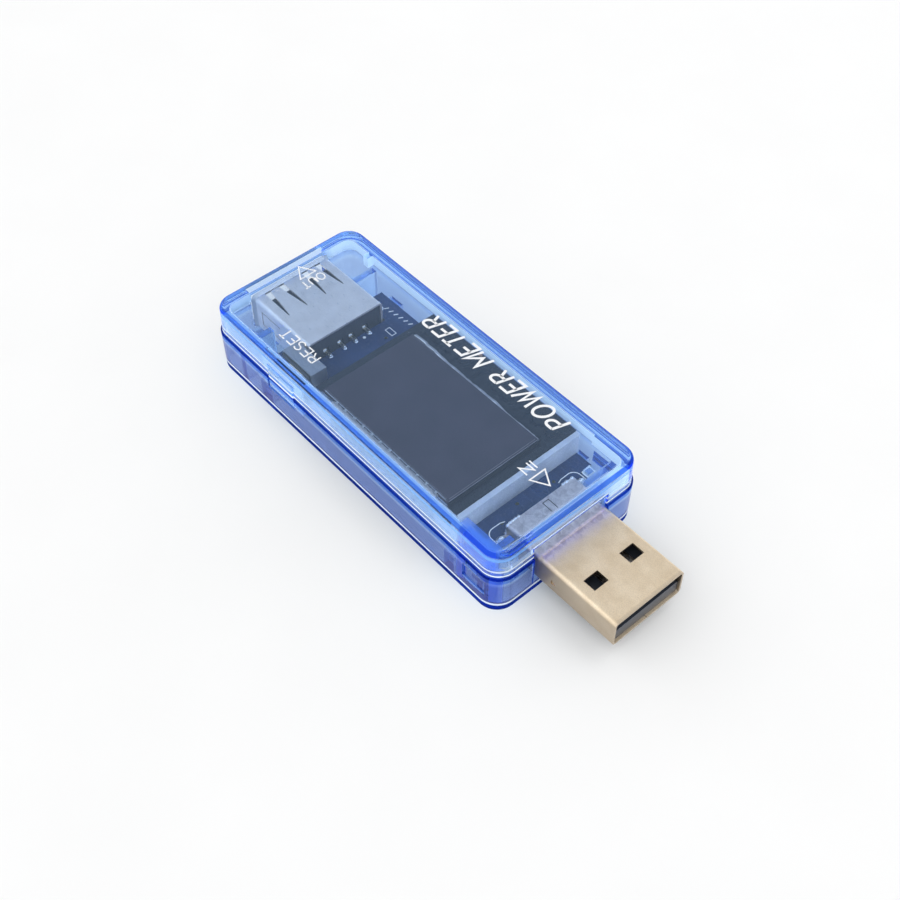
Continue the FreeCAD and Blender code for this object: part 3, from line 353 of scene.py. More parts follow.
def inside_the_wall(m):
    """How far a point lies inside the case's outer outline, a rounded rectangle, in millimetres."""
    middle = (CASE_LOW + CASE_HIGH) / 2
    half = (CASE_HIGH - CASE_LOW) / 2
    reach = []
    for name, centre, size in (("X", middle.x, half.x), ("Y", middle.y, half.y)):
        away = m.math("ABSOLUTE", m.math("SUBTRACT", m.axis(name), centre))
        beyond = m.math("MAXIMUM", m.math("SUBTRACT", away, size - CORNER), 0.0)
        reach.append(m.math("MULTIPLY", beyond, beyond))
    distance = m.math("SQRT", m.math("ADD", reach[0], reach[1]))
    return m.math("SUBTRACT", CORNER, distance)


def clear_blue_plastic(name, absorbed, milk, shadow):
    """Plastic tinted by its depth, absorbed per metre in red, green and blue.

    The rounded edges and the seam get painted dark and pale bands, which stand in for the light they bend,
    the far side is painted lighter, and the plastic has a painted glow; the walls' inner faces are slightly
    frosted.
    """
    m = Shader(name)
    height = m.axis("Z")
    across = m.math("ABSOLUTE", m.axis("Y"))
    far_side = m.fit(m.axis("Y"), 6.0, 8.0)
    from_above = m.axis("Z", m.node("NewGeometry").outputs["Incoming"])
    lean = m.math("ABSOLUTE", m.facing("Z"))
    sloped = m.product(m.fit(lean, 0.10, 0.30, smooth=True), m.fit(lean, 0.90, 0.99, 1.0, 0.0, True))
    upright = m.fit(lean, 0.3, 0.5, 1.0, 0.0)
    depth_in = inside_the_wall(m)
    outer = m.fit(depth_in, 0.45, 0.55, 1.0, 0.0)
    inner = m.fit(depth_in, 0.95, 1.05)
    # the painted bands are strongest on outer faces turned towards the camera and seen from above
    towards = m.math("MAXIMUM", m.facing("X"), m.math("MULTIPLY", m.facing("Y"), -1.0))
    edged = m.product(outer, m.fit(towards, 0.0, 0.5, 0.45, 1.0, True),
                      m.fit(from_above, 0.2, 0.62, 0.28, 1.0, True))

    def band(low, high, soft=0.05):
        rise = m.fit(height, low - soft, low)
        fall = m.fit(height, high, high + soft, 1.0, 0.0)
        return m.product(edged, m.product(rise, fall))

    # painted light: the rounded edge of the cover in a darker blue, lighter on the far side, then the painted
    # shade and highlight bands along the walls
    cover_edge = m.product(sloped, m.fit(height, CASE_TOP - 0.85, CASE_TOP - 0.75),
                           m.fit(from_above, 0.2, 0.62, 0.6, 1.0, True))
    painted_colour = m.mix(cover_edge, (1, 1, 1), m.mix(far_side, FAR_COVER_EDGE, COVER_EDGE))
    for low, high, soft, colour in PAINTED_LIGHT_BANDS:
        painted_colour = m.mix(band(low, high, soft), painted_colour, colour)

    # painted shade: the dark outline round the plug's opening
    plug_face = m.product(outer, m.fit(m.axis("X"), CASE_HIGH.x - 1.1, CASE_HIGH.x - 1.0))
    from_side = m.math("ABSOLUTE", m.math("SUBTRACT", across, PLUG_OPENING))
    beside = m.fit(from_side, 0.10, 0.14, 1.0, 0.0)
    above = m.product(m.fit(across, 6.5, 6.6, 1.0, 0.0), m.fit(height, 8.40, 8.45))
    outline = m.product(plug_face, m.math("MAXIMUM", beside, above),
                        m.fit(height, 8.92, 9.00, 1.0, 0.0))
    painted_colour = m.mix(outline, painted_colour, OPENING_NAVY)

    # frosted inner faces, apart from the clear block in the near corner beside the plug
    near_corner = m.product(m.fit(m.axis("X"), 15.0, 15.4), m.fit(m.axis("Y"), -6.0, -5.0, 1.0, 0.0))
    corner_face = m.product(near_corner, inner, m.fit(m.axis("Y"), -10.6, -10.4, 1.0, 0.0))
    frosted = m.product(upright, inner, m.math("SUBTRACT", 1.0, near_corner))
    glass = m.node("BsdfGlass", {"IOR": 1.52, "Roughness": m.math("MULTIPLY", frosted, 0.22),
                                 "Color": painted_colour, "Normal": m.bump(m.noise(0.35, 2.0), 0.35, 0.02)})
    # the frost on the far side is painted lighter and milkier, with a faint painted glow
    milky = m.node("BsdfDiffuse", {"Color": m.mix(far_side, INNER_MILK, FAR_INNER_MILK)})
    far_side_glow = m.node("Emission", {"Color": (0.62, 0.80, 1.0),
                               "Strength": m.math("MULTIPLY", far_side, 0.22)})
    milky = m.node("AddShader", {0: milky, 1: far_side_glow})
    milkiness = m.product(frosted, m.fit(far_side, 0.0, 1.0, milk, min(0.85, milk * 1.6)))
    # painted shade: a deep blue diffuse on the inner face of the near corner's block
    deep = m.node("BsdfDiffuse", {"Color": DEEP_BLUE})
    shown = m.between(m.math("MULTIPLY", corner_face, 0.55), m.between(milkiness, glass, milky), deep)
    passing = m.passing_ray()
    shown = m.between(passing, shown, m.node("BsdfTransparent", {"Color": (0.99, 0.995, 1.0)}))

    # painted highlights: the pale lines, and one more on the sill above the plug
    sill = m.product(band(9.02, 9.22), plug_face, m.fit(across, 6.4, 6.6, 1.0, 0.0))
    lines = m.math("MULTIPLY", sill, 0.8)
    for low, high, soft, strength in PAINTED_HIGHLIGHT_LINES:
        lines = m.math("ADD", lines, m.math("MULTIPLY", band(low, high, soft), strength))
    shown = m.between(lines, shown, m.node("BsdfDiffuse", {"Color": PAINTED_HIGHLIGHT_WHITE}))

    # painted light: azure below the cover's edge and on the wall at the socket
    under_edge = m.math("MULTIPLY", band(CASE_TOP - 1.30, CASE_TOP - 0.82, 0.15), 0.6)
    socket_end = m.product(outer, m.fit(m.axis("X"), CASE_LOW.x + 0.8, CASE_LOW.x + 1.0, 1.0, 0.0),
                           m.fit(height, 9.2, 9.4, 0.0, 0.5))
    azure = m.node("BsdfDiffuse", {"Color": AZURE})
    shown = m.between(m.math("MAXIMUM", under_edge, socket_end), shown, azure)
    m.tree.links.new(shown.outputs[0], m.end.inputs["Surface"])

    most = max(absorbed)
    colour = tuple(1 - value / most for value in absorbed)
    density = m.fit(passing, 0.0, 1.0, most, shadow)
    depth = m.node("VolumeAbsorption", {"Color": colour, "Density": density})
    # a painted glow, added to the plastic's absorption
    glow = m.node("Emission", {"Color": (0.30, 0.60, 1.0), "Strength": PLASTIC_GLOW})
    haze = m.node("AddShader", {0: depth, 1: glow})
    m.tree.links.new(haze.outputs[0], m.end.inputs["Volume"])
    return m


def clear_material(name, ior, colour, density, roughness=0.0, relief=0.0):
    """A clear solid: glass, glue or a pale plastic."""
    m = Shader(name)
    glass = m.node("BsdfGlass", {"IOR": ior, "Roughness": roughness, "Color": (1, 1, 1)})
    if relief:
        m.put(glass.inputs["Normal"], m.bump(m.noise(1.6, 4.0, 0.6), 0.8, relief))
    clear = m.node("BsdfTransparent", {"Color": (0.95, 0.95, 0.96)})
    both = m.between(m.passing_ray(), glass, clear)
    m.tree.links.new(both.outputs[0], m.end.inputs["Surface"])
    depth = m.node("VolumeAbsorption", {"Color": colour, "Density": density})
    m.tree.links.new(depth.outputs[0], m.end.inputs["Volume"])
    return m


def plug_metal():
    """Warm nickel plate with fine lines, pits and cloudy stains; greyer near and inside the case, with
    painted shade on the top's rim and on the sides.
    """
    m = Shader("plug_nickel")
    lines = m.noise(1.0, 5.0, 0.65, m.stretched(0.7, 9.0, 9.0))
    cloud = m.noise(0.4, 4.0, 0.6, distortion=0.1)
    grain = m.noise(5.0, 6.0, 0.7)
    stain = m.noise(0.9, 5.0, 0.65, distortion=1.2)
    colour = m.ramp(cloud, (0.3, (0.84, 0.69, 0.49)), (0.66, (0.99, 0.85, 0.65)))

    # brown stains up to an uneven line outside the case, then the pits
    uneven = m.math("ADD", m.axis("X"), m.math("MULTIPLY", stain, 4.0))
    stain_and_highlight = m.fit(uneven, 25.2, 26.6, 1.0, 0.0, True)
    colour = m.mix(m.math("MULTIPLY", stain_and_highlight, 0.55), colour, (0.40, 0.31, 0.24))
    pits = m.fit(m.noise(7.0, 3.0, 0.6), 0.40, 0.62, 0.0, 0.30)
    colour = m.mix(pits, colour, (0.56, 0.46, 0.34))

    # a pale crinkled skin on the part inside the case
    inside = m.fit(m.axis("X"), 23.2, 23.6, 1.0, 0.0)
    pale = m.ramp(stain, (0.35, (0.52, 0.46, 0.47)), (0.65, (0.80, 0.74, 0.74)))
    colour = m.mix(inside, colour, pale)
    crinkle = m.product(m.noise(1.6, 5.0, 0.6, distortion=2.0), m.math("MULTIPLY", inside, 14.0))

    # painted shade: darker along the rim of the top face, and on the sides
    flat = m.fit(m.facing("Z"), 0.3, 0.9)
    low, high = span("plug_shell")
    top = m.product(flat, m.fit(m.axis("Z"), high.z - 0.35, high.z - 0.25))
    side_rim = m.fit(m.math("ABSOLUTE", m.axis("Y")), high.y - 1.0, high.y - 0.7)
    end_rim = m.fit(m.axis("X"), high.x - 0.5, high.x - 0.25)
    rim = m.product(top, m.math("MAXIMUM", side_rim, end_rim), 0.35)
    colour = m.mix(rim, colour, (0.52, 0.43, 0.33))
    sides = m.product(m.math("SUBTRACT", 1.0, flat), m.fit(m.axis("X"), 24.5, 33.0, 0.85, 0.6, True))
    colour = m.mix(sides, colour, (0.33, 0.27, 0.21))

    fine = m.math("ADD", m.math("MULTIPLY", lines, 0.6), m.math("MULTIPLY", grain, 0.4))
    duller = m.product(flat, m.fit(m.axis("X"), 24.0, 29.0, 0.0, 0.12, True))
    rough = m.math("ADD", m.fit(fine, 0.3, 0.7, 0.27, 0.46), duller)
    height = m.math("ADD", m.math("ADD", m.math("MULTIPLY", lines, 0.6), grain), crinkle)
    m.surface(Base_Color=colour, Metallic=1.0, Roughness=rough, Normal=m.bump(height, 0.35, 0.012))
    return m


def socket_metal():
    """Tin plate with fine lines along the socket, and painted shade at its mouth."""
    m = Shader("socket_tin")
    lines = m.noise(1.2, 5.0, 0.6, m.stretched(0.8, 7.0, 7.0))
    cloud = m.noise(0.5, 4.0, 0.55)
    colour = m.ramp(cloud, (0.3, (0.86, 0.80, 0.76)), (0.7, (0.98, 0.92, 0.88)))
    # painted shade: darker at the mouth
    mouth = m.fit(m.axis("X"), -34.4, -34.0, 0.35, 1.0)
    colour = m.mix(mouth, (0.30, 0.32, 0.36), colour)
    rough = m.fit(lines, 0.3, 0.7, 0.26, 0.44)
    m.surface(Base_Color=colour, Metallic=0.8, Roughness=rough, Normal=m.bump(lines, 0.3, 0.01))
    return m


def bright_tin(name="bright_tin", colour=(0.72, 0.72, 0.74)):
    """Uneven shiny metal, for solder, leads and small plated pieces."""
    m = Shader(name)
    grain = m.noise(3.5, 5.0, 0.65)
    shade = m.mix(m.fit(grain, 0.3, 0.7, 0.0, 0.4), colour, tuple(c * 0.6 for c in colour))
    m.surface(Base_Color=shade, Metallic=1.0, Roughness=m.fit(grain, 0.3, 0.7, 0.16, 0.38),
              Normal=m.bump(grain, 0.4, 0.02))
    return m


def brushed_steel():
    m = Shader("switch_steel")
    lines = m.noise(1.0, 4.0, 0.6, m.stretched(0.6, 6.0, 6.0))
    shade = m.mix(m.fit(lines, 0.3, 0.7), (0.50, 0.50, 0.52), (0.60, 0.60, 0.62))
    m.surface(Base_Color=shade, Metallic=1.0, Roughness=m.fit(lines, 0.3, 0.7, 0.28, 0.4),
              Normal=m.bump(lines, 0.2, 0.006))
    return m


def gold():
    """Gold plate on the upper part of the contacts, tin below it."""
    m = Shader("contact_gold")
    grain = m.noise(2.5, 4.0, 0.6, m.stretched(0.6, 4.0, 4.0))
    plated = m.ramp(grain, (0.3, (0.78, 0.55, 0.22)), (0.7, (0.92, 0.72, 0.36)))
    shade = m.mix(m.fit(m.axis("Z"), 5.75, 5.95), (0.78, 0.78, 0.80), plated)
    m.surface(Base_Color=shade, Metallic=1.0, Roughness=m.fit(grain, 0.3, 0.7, 0.2, 0.36))
    return m


def moulded(name, colour, roughness, relief=0.01, scale=9.0):
    """Moulded plastic or epoxy with a fine grain and faint flow marks."""
    m = Shader(name)
    grain = m.noise(scale, 4.0, 0.6)
    flow = m.noise(0.5, 3.0, 0.5)
    darker, paler = tuple(c * 0.85 for c in colour), tuple(min(1, c * 1.12) for c in colour)
    rough = m.fit(grain, 0.3, 0.7, roughness - 0.08, roughness + 0.1)
    m.surface(Base_Color=m.mix(m.fit(flow, 0.35, 0.65), darker, paler), Roughness=rough,
              Normal=m.bump(grain, 0.4, relief))
    return m


def solder_mask():
    """Blue lacquer. Copper tracks show as faint raised lines, and the cut edge shows the laminate."""
    m = Shader("solder_mask")
    tracks = m.node("TexBrick", {"Scale": 1.0, "Mortar Size": 0.10, "Mortar Smooth": 0.2,
                                 "Brick Width": 5.4, "Row Height": 1.35})
    m.put(tracks.inputs["Vector"], m.place())
    pattern = m.fit(m.noise(0.22, 0.0), 0.45, 0.5, 0.0, 1.0)
    copper = m.math("MULTIPLY", tracks.outputs["Fac"], pattern)
    cloud = m.noise(0.3, 2.0)
    lacquer = m.ramp(cloud, (0.3, (0.010, 0.024, 0.085)), (0.7, (0.016, 0.040, 0.130)))
    top = m.mix(m.math("MULTIPLY", copper, 0.35), lacquer, (0.030, 0.070, 0.18))
    weave = m.noise(6.0, 2.0, 0.5, m.stretched(1.0, 1.0, 6.0))
    edge = m.ramp(weave, (0.35, (0.10, 0.11, 0.06)), (0.65, (0.22, 0.21, 0.12)))
    flat = m.fit(m.math("ABSOLUTE", m.facing("Z")), 0.4, 0.6)
    m.surface(Base_Color=m.mix(flat, edge, top), Roughness=m.fit(m.noise(4.0), 0.3, 0.7, 0.18, 0.30),
              Specular_IOR_Level=0.3, Normal=m.bump(copper, 0.4, 0.01))
    return m


def pale_guide():
    """Milky, slightly blue plastic that carries light under the display, with painted highlights along two
    edges of its top.
    """
    m = Shader("light_guide_plastic")
    cloud = m.noise(0.4, 3.0)
    grain = m.noise(6.0, 4.0, 0.6)
    shade = m.ramp(cloud, (0.3, (0.38, 0.44, 0.56)), (0.7, (0.48, 0.54, 0.68)))
    low, high = span("light_guide")
    near_top = m.fit(m.axis("Z"), high.z - 0.16, high.z - 0.10)
    # painted highlights: pale lines along two edges near the top
    for x in (high.x, high.x - 0.75):
        away = m.math("ABSOLUTE", m.math("SUBTRACT", m.axis("X"), x))
        stain_and_highlight = m.math("MULTIPLY", near_top, m.fit(away, 0.07, 0.12, 1.0, 0.0))
        shade = m.mix(m.math("MULTIPLY", stain_and_highlight, 0.8), shade, (0.86, 0.92, 1.0))
    m.surface(Base_Color=shade, Roughness=m.fit(grain, 0.3, 0.7, 0.18, 0.32), Subsurface_Weight=0.35,
              Subsurface_Radius=(0.6, 0.7, 1.0), Subsurface_Scale=0.0012, Normal=m.bump(grain, 0.2, 0.01))
    return m


def display_film(name, colour, roughness):
    """Dark film or glass with a faint haze and a few specks."""
    m = Shader(name)
    haze = m.noise(0.25, 3.0)
    dust = m.fit(m.spots(0.45), 0.0, 0.05, 1.0, 0.0)
    darker, paler = tuple(c * 0.85 for c in colour), tuple(c * 1.15 for c in colour)
    shade = m.mix(m.fit(haze, 0.3, 0.7), darker, paler)
    shade = m.mix(m.math("MULTIPLY", dust, 0.5), shade, (0.6, 0.62, 0.66))
    m.surface(Base_Color=shade, Roughness=roughness, Normal=m.bump(m.noise(0.15, 1.0), 0.05, 0.01))
    return m


def near_seal():
    """Grey silicone, pale where it meets the wall and darker against the glass."""
    m = Shader("near_seal")
    mottle = m.noise(2.2, 4.0, 0.6)
    across = m.math("ADD", m.axis("Y"), m.math("MULTIPLY", m.math("SUBTRACT", mottle, 0.5), 0.5))
    shade = m.ramp(m.fit(across, -11.1, -10.3), (0.0, (0.36, 0.38, 0.44)), (0.55, (0.24, 0.26, 0.31)),
                   (1.0, (0.05, 0.055, 0.07)))
    rough = m.fit(mottle, 0.3, 0.7, 0.22, 0.5)
    m.surface(Base_Color=shade, Roughness=rough, Normal=m.bump(mottle, 0.5, 0.02))
    return m


def white_ink(name="white_ink", colour=(0.92, 0.93, 0.95)):
    m = Shader(name)
    grain = m.noise(7.0, 4.0, 0.7)
    shade = m.mix(m.fit(grain, 0.35, 0.75, 0.0, 0.35), colour, tuple(c * 0.8 for c in colour))
    m.surface(Base_Color=shade, Roughness=0.5)
    return m


def floor_white():
    m = Shader("studio_floor")
    grain = m.noise(0.05, 3.0)
    shade = m.mix(m.fit(grain, 0.3, 0.7), (0.90, 0.90, 0.895), (0.915, 0.915, 0.91))
    m.surface(Base_Color=shade, Roughness=0.75, Specular_IOR_Level=0.15)
    return m


paint(["upper_case", "reset_button"],
      clear_blue_plastic("clear_blue_plastic", (190.0, 105.0, 12.0), 0.5, 15.0))
paint(["lower_case"], clear_blue_plastic("clear_blue_plastic_below", (430.0, 280.0, 85.0), 0.2, 60.0))
paint(["plug_shell"], plug_metal(), 0.09)
paint(["socket_shell"], socket_metal(), 0.05)
paint(["lcd_pins", "switch_terminals", "microcontroller_leads", "memory_chip_leads",
       "voltage_regulator_leads", "component_end_caps"], bright_tin(), 0.03, 1)
paint(["switch_frame"], brushed_steel(), 0.05)
paint(["plug_contacts", "socket_contacts"], gold(), 0.03, 1)
paint(["plug_insulator"], moulded("plug_black", (0.035, 0.042, 0.06), 0.36), 0.06)
paint(["socket_insulator"], moulded("socket_black", (0.03, 0.034, 0.045), 0.4), 0.06)
paint(["circuit_board"], solder_mask())
paint(["light_guide"], pale_guide(), 0.08)
paint(["backlight_leds"], moulded("lamp_white", (0.82, 0.82, 0.74), 0.35), 0.05)
paint(["lcd_rear_glass"], display_film("rear_glass", (0.012, 0.014, 0.020), 0.12), 0.03, 1)
paint(["lcd_front_glass"], clear_material("front_glass", 1.5, (0.4, 0.5, 0.7), 60.0), 0.03, 1)
paint(["lcd_front_polariser"], display_film("front_film", (0.036, 0.030, 0.044), 0.22))
paint(["lcd_rear_polariser"], display_film("rear_film", (0.10, 0.11, 0.13), 0.3))
paint(["pin_sealant"], clear_material("clear_glue", 1.45, (0.6, 0.7, 0.8), 20.0, 0.02, 0.015))
paint(["switch_body"], moulded("switch_nylon", (0.03, 0.03, 0.033), 0.45), 0.08)
paint(["switch_plunger"], moulded("plunger_nylon", (0.72, 0.72, 0.66), 0.4), 0.05)
paint(["microcontroller", "memory_chip", "voltage_regulator"],
      moulded("chip_epoxy", (0.02, 0.02, 0.022), 0.55, 0.015))
paint(["chip_resistors"], moulded("resistor_glaze", (0.012, 0.012, 0.013), 0.25), 0.03, 1)
paint(["chip_capacitors"], moulded("capacitor_ceramic", (0.42, 0.29, 0.17), 0.5), 0.05)
paint(["current_shunt"], bright_tin("shunt_alloy", (0.50, 0.44, 0.38)), 0.04)


# ---- printed legends -----------------------------------------------------------------------------

ink_low, ink_high = CASE_TOP - 0.03, CASE_TOP - 0.004
ink = white_ink()
TO_SOCKET, TO_PLUG, TO_NEAR = (-1, 0), (1, 0), (0, -1)

# name, text, start, reading direction, where the letters' tops point, height, length, line, slant
LEGENDS = (
    ("legend_title", "POWER METER", (12.7, 9.6), TO_SOCKET, TO_NEAR, 2.65, 25.9, 0.4, 0.3),
    ("legend_reset", "RESET", (-17.65, -7.5), TO_SOCKET, TO_NEAR, 1.6, 7.2, 0.2, 0.0),
    ("legend_in", "IN", (13.8, 1.2), TO_NEAR, TO_PLUG, 1.5, 1.8, 0.2, 0.0),
    ("legend_out", "OUT", (-30.95, 2.8), TO_NEAR, TO_PLUG, 1.4, 3.7, 0.18, 0.0),
)
for name, text, start, reading, tops, height, length, weight, slant in LEGENDS:
    work = bmesh.new()
    print_text(work, text, start, reading, tops, height, length, weight, ink_low, ink_high, slant)
    add_piece(name, work, ink)

for name, corners, weight in (("arrow_in", [(16.07, -0.91), (16.07, 1.76), (18.38, 0.40)], 0.2),
                              ("arrow_out", [(-31.6, -0.3), (-31.6, 2.4), (-33.9, 1.05)], 0.18)):
    work = bmesh.new()
    stroke(work, corners, weight, ink_low, ink_high, closed=True)
    add_piece(name, work, ink)


# ---- printing on the circuit board ---------------------------------------------------------------

board_low, board_high = span("circuit_board")
print_low, print_high = board_high.z + 0.004, board_high.z + 0.02
board_white = white_ink("board_white", (0.80, 0.86, 0.92))


def circle(x, y, radius, steps):
    """A closed outline, without the repeated last point."""
    return arc(x, y, radius, radius, 0, 360, steps)[:-1]


work = bmesh.new()
for side in (1, -1):
    # a hook round each leg of the plug's shell
    hook = [(15.95, 4.7), (15.72, 5.4), *arc(16.85, 6.65, 1.15, 1.15, 180, 90, 8), (18.1, 7.82)]
    stroke(work, [(x, y * side) for x, y in hook], 0.13, print_low, print_high)
for index in range(6):
    # a slanting row of ticks beside the socket
    x = -23.6 + 0.95 * index
    tick = [(x, 8.1 + 0.12 * index), (x + 0.35, 8.75 + 0.1 * index)]
    stroke(work, tick, 0.16, print_low, print_high)
for x, y, long, short in ((-19.4, 5.9, 0.75, 0.4), (-17.4, 4.2, 0.4, 0.75)):
    box = [(x - long, y - short), (x + long, y - short), (x + long, y + short), (x - long, y + short)]
    stroke(work, box, 0.1, print_low, print_high, closed=True)
add_piece("board_outlines", work, board_white)

work = bmesh.new()
prism(work, circle(-20.95, 2.35, 0.24, 20), print_low, print_high)
prism(work, circle(-24.6, -8.6, 0.4, 24), print_low, print_high, holes=[circle(-24.6, -8.6, 0.25, 24)])
pad = [(16.75, 8.3), (17.85, 8.3), (17.85, 9.5), (16.75, 9.5)]
stroke(work, pad, 0.24, print_low, print_high, closed=True)
add_piece("board_marks", work, board_white)


# ---- solder --------------------------------------------------------------------------------------

# share of a joint's radius against share of its height
SOLDER_PROFILE = ((1.0, 0.0), (0.97, 0.06), (0.80, 0.18), (0.66, 0.38), (0.56, 0.62), (0.45, 0.84),
                  (0.24, 0.96))


def joint(work, centre, radii, height, seed, up=True, steps=20):
    """A solder joint on the board: wide at its foot, concave up to a small rounded top."""
    chance = random.Random(seed)
    lobes = [(chance.uniform(-0.07, 0.07), k, chance.uniform(0, 6.3)) for k in (2, 3, 5)]
    cx, cy, cz = centre
    height = height if up else -height
    rings = []
    for share, rise in SOLDER_PROFILE:
        ring = []
        for i in range(steps):
            turn = 2 * math.pi * i / steps
            reach = share * (1 + sum(size * math.sin(k * turn + phase) for size, k, phase in lobes))
            ring.append(work.verts.new((cx + radii[0] * reach * math.cos(turn),
                                        cy + radii[1] * reach * math.sin(turn), cz + rise * height)))
        rings.append(ring)
    for low, high in zip(rings, rings[1:]):
        for i in range(steps):
            k = (i + 1) % steps
            work.faces.new((low[i], low[k], high[k], high[i]))
    work.faces.new(rings[0])
    top = work.verts.new((cx, cy, cz + height))
    for i in range(steps):
        work.faces.new((rings[-1][i], rings[-1][(i + 1) % steps], top))


def rope(work, points, radius, seed, roughness, sides=10):
    """A lumpy rod through the points."""
    chance = random.Random(seed)
    path = [Vector(p) for p in points]
    rings = []
    for i, here in enumerate(path):
        ahead = (path[min(i + 1, len(path) - 1)] - path[max(i - 1, 0)]).normalized()
        side = ahead.cross(Vector((0.31, 0.2, 0.93))).normalized()
        up = ahead.cross(side).normalized()
        size = radius * (1 + roughness * chance.uniform(-1, 1))
        ring = []
        for k in range(sides):
            turn = 2 * math.pi * k / sides
            reach = size * (1 + 0.35 * roughness * chance.uniform(-1, 1))
            ring.append(work.verts.new(here + (side * math.cos(turn) + up * math.sin(turn)) * reach))
        rings.append(ring)
    for first, second in zip(rings, rings[1:]):
        for k in range(sides):
            after = (k + 1) % sides
            work.faces.new((first[k], first[after], second[after], second[k]))
    work.faces.new(rings[0][::-1])
    work.faces.new(rings[-1])


def along(start, end, count):
    """Evenly spaced points from start to end."""
    start, end = Vector(start), Vector(end)
    return [start.lerp(end, i / (count - 1)) for i in range(count)]


board_top, board_under = board_high.z, board_low.z
CONTACT_ROWS = (-3.5, -1.0, 1.0, 3.5)       # the four contacts of a USB-A connector, across
LCD_PIN_COUNT, LCD_PIN_ROW = 12, -9.35
SWITCH_MIDDLE, SWITCH_REACH = -20.45, 3.85
solder = bright_tin("solder", (0.90, 0.90, 0.92))

work = bmesh.new()
for side in (1, -1):
    # the legs of the plug's shell and of the socket's shell
    joint(work, (17.75, 6.95 * side, board_top), (0.62, 0.85), 0.62, 3 + side)
    joint(work, (-24.7, 7.55 * side, board_top), (1.25, 0.95), 0.6, 7 + side)
for index, y in enumerate(CONTACT_ROWS):
    joint(work, (-21.25, y, board_top), (0.42, 0.36), 0.36, 20 + index)
for x in (SWITCH_MIDDLE - SWITCH_REACH, SWITCH_MIDDLE + SWITCH_REACH):
    joint(work, (x, -8.75, board_top), (0.62, 0.68), 0.42, int(50 - x))
add_piece("solder_on_top", work, solder, LUMPY_ANGLE)

rear = span("plug_shell")[0].x
work = bmesh.new()
for side in (1, -1):
    # along the foot of the plug's rear end, then up its corner and along the top
    foot = along((rear - 0.06, 5.9 * side, 5.5), (rear - 0.06, 2.2 * side, 5.55), 30)
    rope(work, foot, 0.26, 31 + side, 0.4)
    corner = along((rear - 0.05, 6.02 * side, 5.5), (rear - 0.05, 5.72 * side, 7.0), 12)
    corner += along((rear - 0.05, 5.5 * side, 7.2), (rear - 0.05, 3.6 * side, 7.24), 14)
    rope(work, corner, 0.18, 41 + side, 0.45)
add_piece("solder_on_plug", work, solder, LUMPY_ANGLE)

pins_low, pins_high = span("lcd_pins")
work = bmesh.new()
first_pin, last_pin = pins_low.x + 0.2, pins_high.x - 0.2
for index in range(LCD_PIN_COUNT):
    x = first_pin + (last_pin - first_pin) * index / (LCD_PIN_COUNT - 1)
    joint(work, (x, LCD_PIN_ROW, board_under), (0.5, 0.5), 0.62, 60 + index, up=False)
for index, y in enumerate(CONTACT_ROWS):
    joint(work, (16.6, y, board_under), (0.95, 0.55), 0.42, 80 + index, up=False)
for node, pitch, leads in (("microcontroller", 0.65, 10), ("memory_chip", 1.27, 4)):
    low, high = span(node + "_leads")
    body_low, body_high = span(node)
    middle = (body_low.x + body_high.x) / 2
    for y in (low.y + 0.3, high.y - 0.3):
        for index in range(leads):
            x = middle + (index - (leads - 1) / 2) * pitch
            joint(work, (x, y, board_under), (pitch * 0.27, 0.42), 0.26, 100 + index, up=False, steps=12)
low, high = span("voltage_regulator_leads")
for x in (7.1, 8.6, 10.1):
    joint(work, (x, low.y + 0.35, board_under), (0.42, 0.55), 0.3, int(x * 10), up=False)
joint(work, (8.6, high.y - 0.25, board_under), (1.1, 0.5), 0.3, 131, up=False)
low, high = span("current_shunt")
for x in (low.x + 0.3, high.x - 0.3):
    joint(work, (x, (low.y + high.y) / 2, board_under), (0.8, 1.8), 0.42, int(140 + x), up=False)
add_piece("solder_underneath", work, solder, LUMPY_ANGLE)


# ---- edges of the display ------------------------------------------------------------------------

glass_low, glass_high = span("lcd_front_glass")
film_low, film_high = span("lcd_front_polariser")
rear_glass_top = span("lcd_rear_glass")[1].z
PRINT = 0.012       # thickness of a print or a cut edge
GAP = 0.004         # clearance between a print and the face below it

# two wavy beads along the far edge, with thin glue behind the upper one
SEAL_STEPS = 60
chance = random.Random(5)
lower, upper = [], []
drift = 0.0
for index in range(SEAL_STEPS + 1):
    share = index / SEAL_STEPS
    x = glass_low.x + 0.3 + (glass_high.x - glass_low.x - 0.6) * share
    drift = 0.8 * drift + 0.2 * chance.uniform(-0.35, 0.35)
    lower.append((x, glass_high.y + 0.12, rear_glass_top + 0.06))
    upper.append((x, glass_high.y - 0.14 - 0.35 * share + drift, glass_high.z + 0.035))
work = bmesh.new()
rope(work, lower, 0.06, 6, 0.3, 8)
rope(work, upper, 0.06, 8, 0.4, 8)
add_piece("display_far_seal", work, moulded("pale_glue", (0.74, 0.79, 0.86), 0.25, 0.01, 4.0), LUMPY_ANGLE)

work = bmesh.new()
behind = [(x, y + 0.19) for x, y, z in upper]
stroke(work, behind, 0.34, glass_high.z + GAP, glass_high.z + GAP + PRINT)
add_piece("display_far_glue", work, moulded("grey_glue", (0.22, 0.24, 0.29), 0.3, 0.01, 3.0))

# dark ink on the two ends of the front glass
work = bmesh.new()
INK, INK_GAP = 0.02, 0.012
near, far = glass_low.y + 0.05, glass_high.y - 0.05
for x in (glass_high.x + INK_GAP, glass_low.x - INK_GAP - INK):
    prism(work, [(x, near), (x + INK, near), (x + INK, far), (x, far)],
          glass_low.z + 0.01, glass_high.z - 0.01)
add_piece("display_edge_ink", work, moulded("black_edge", (0.010, 0.011, 0.014), 0.3, 0.004))

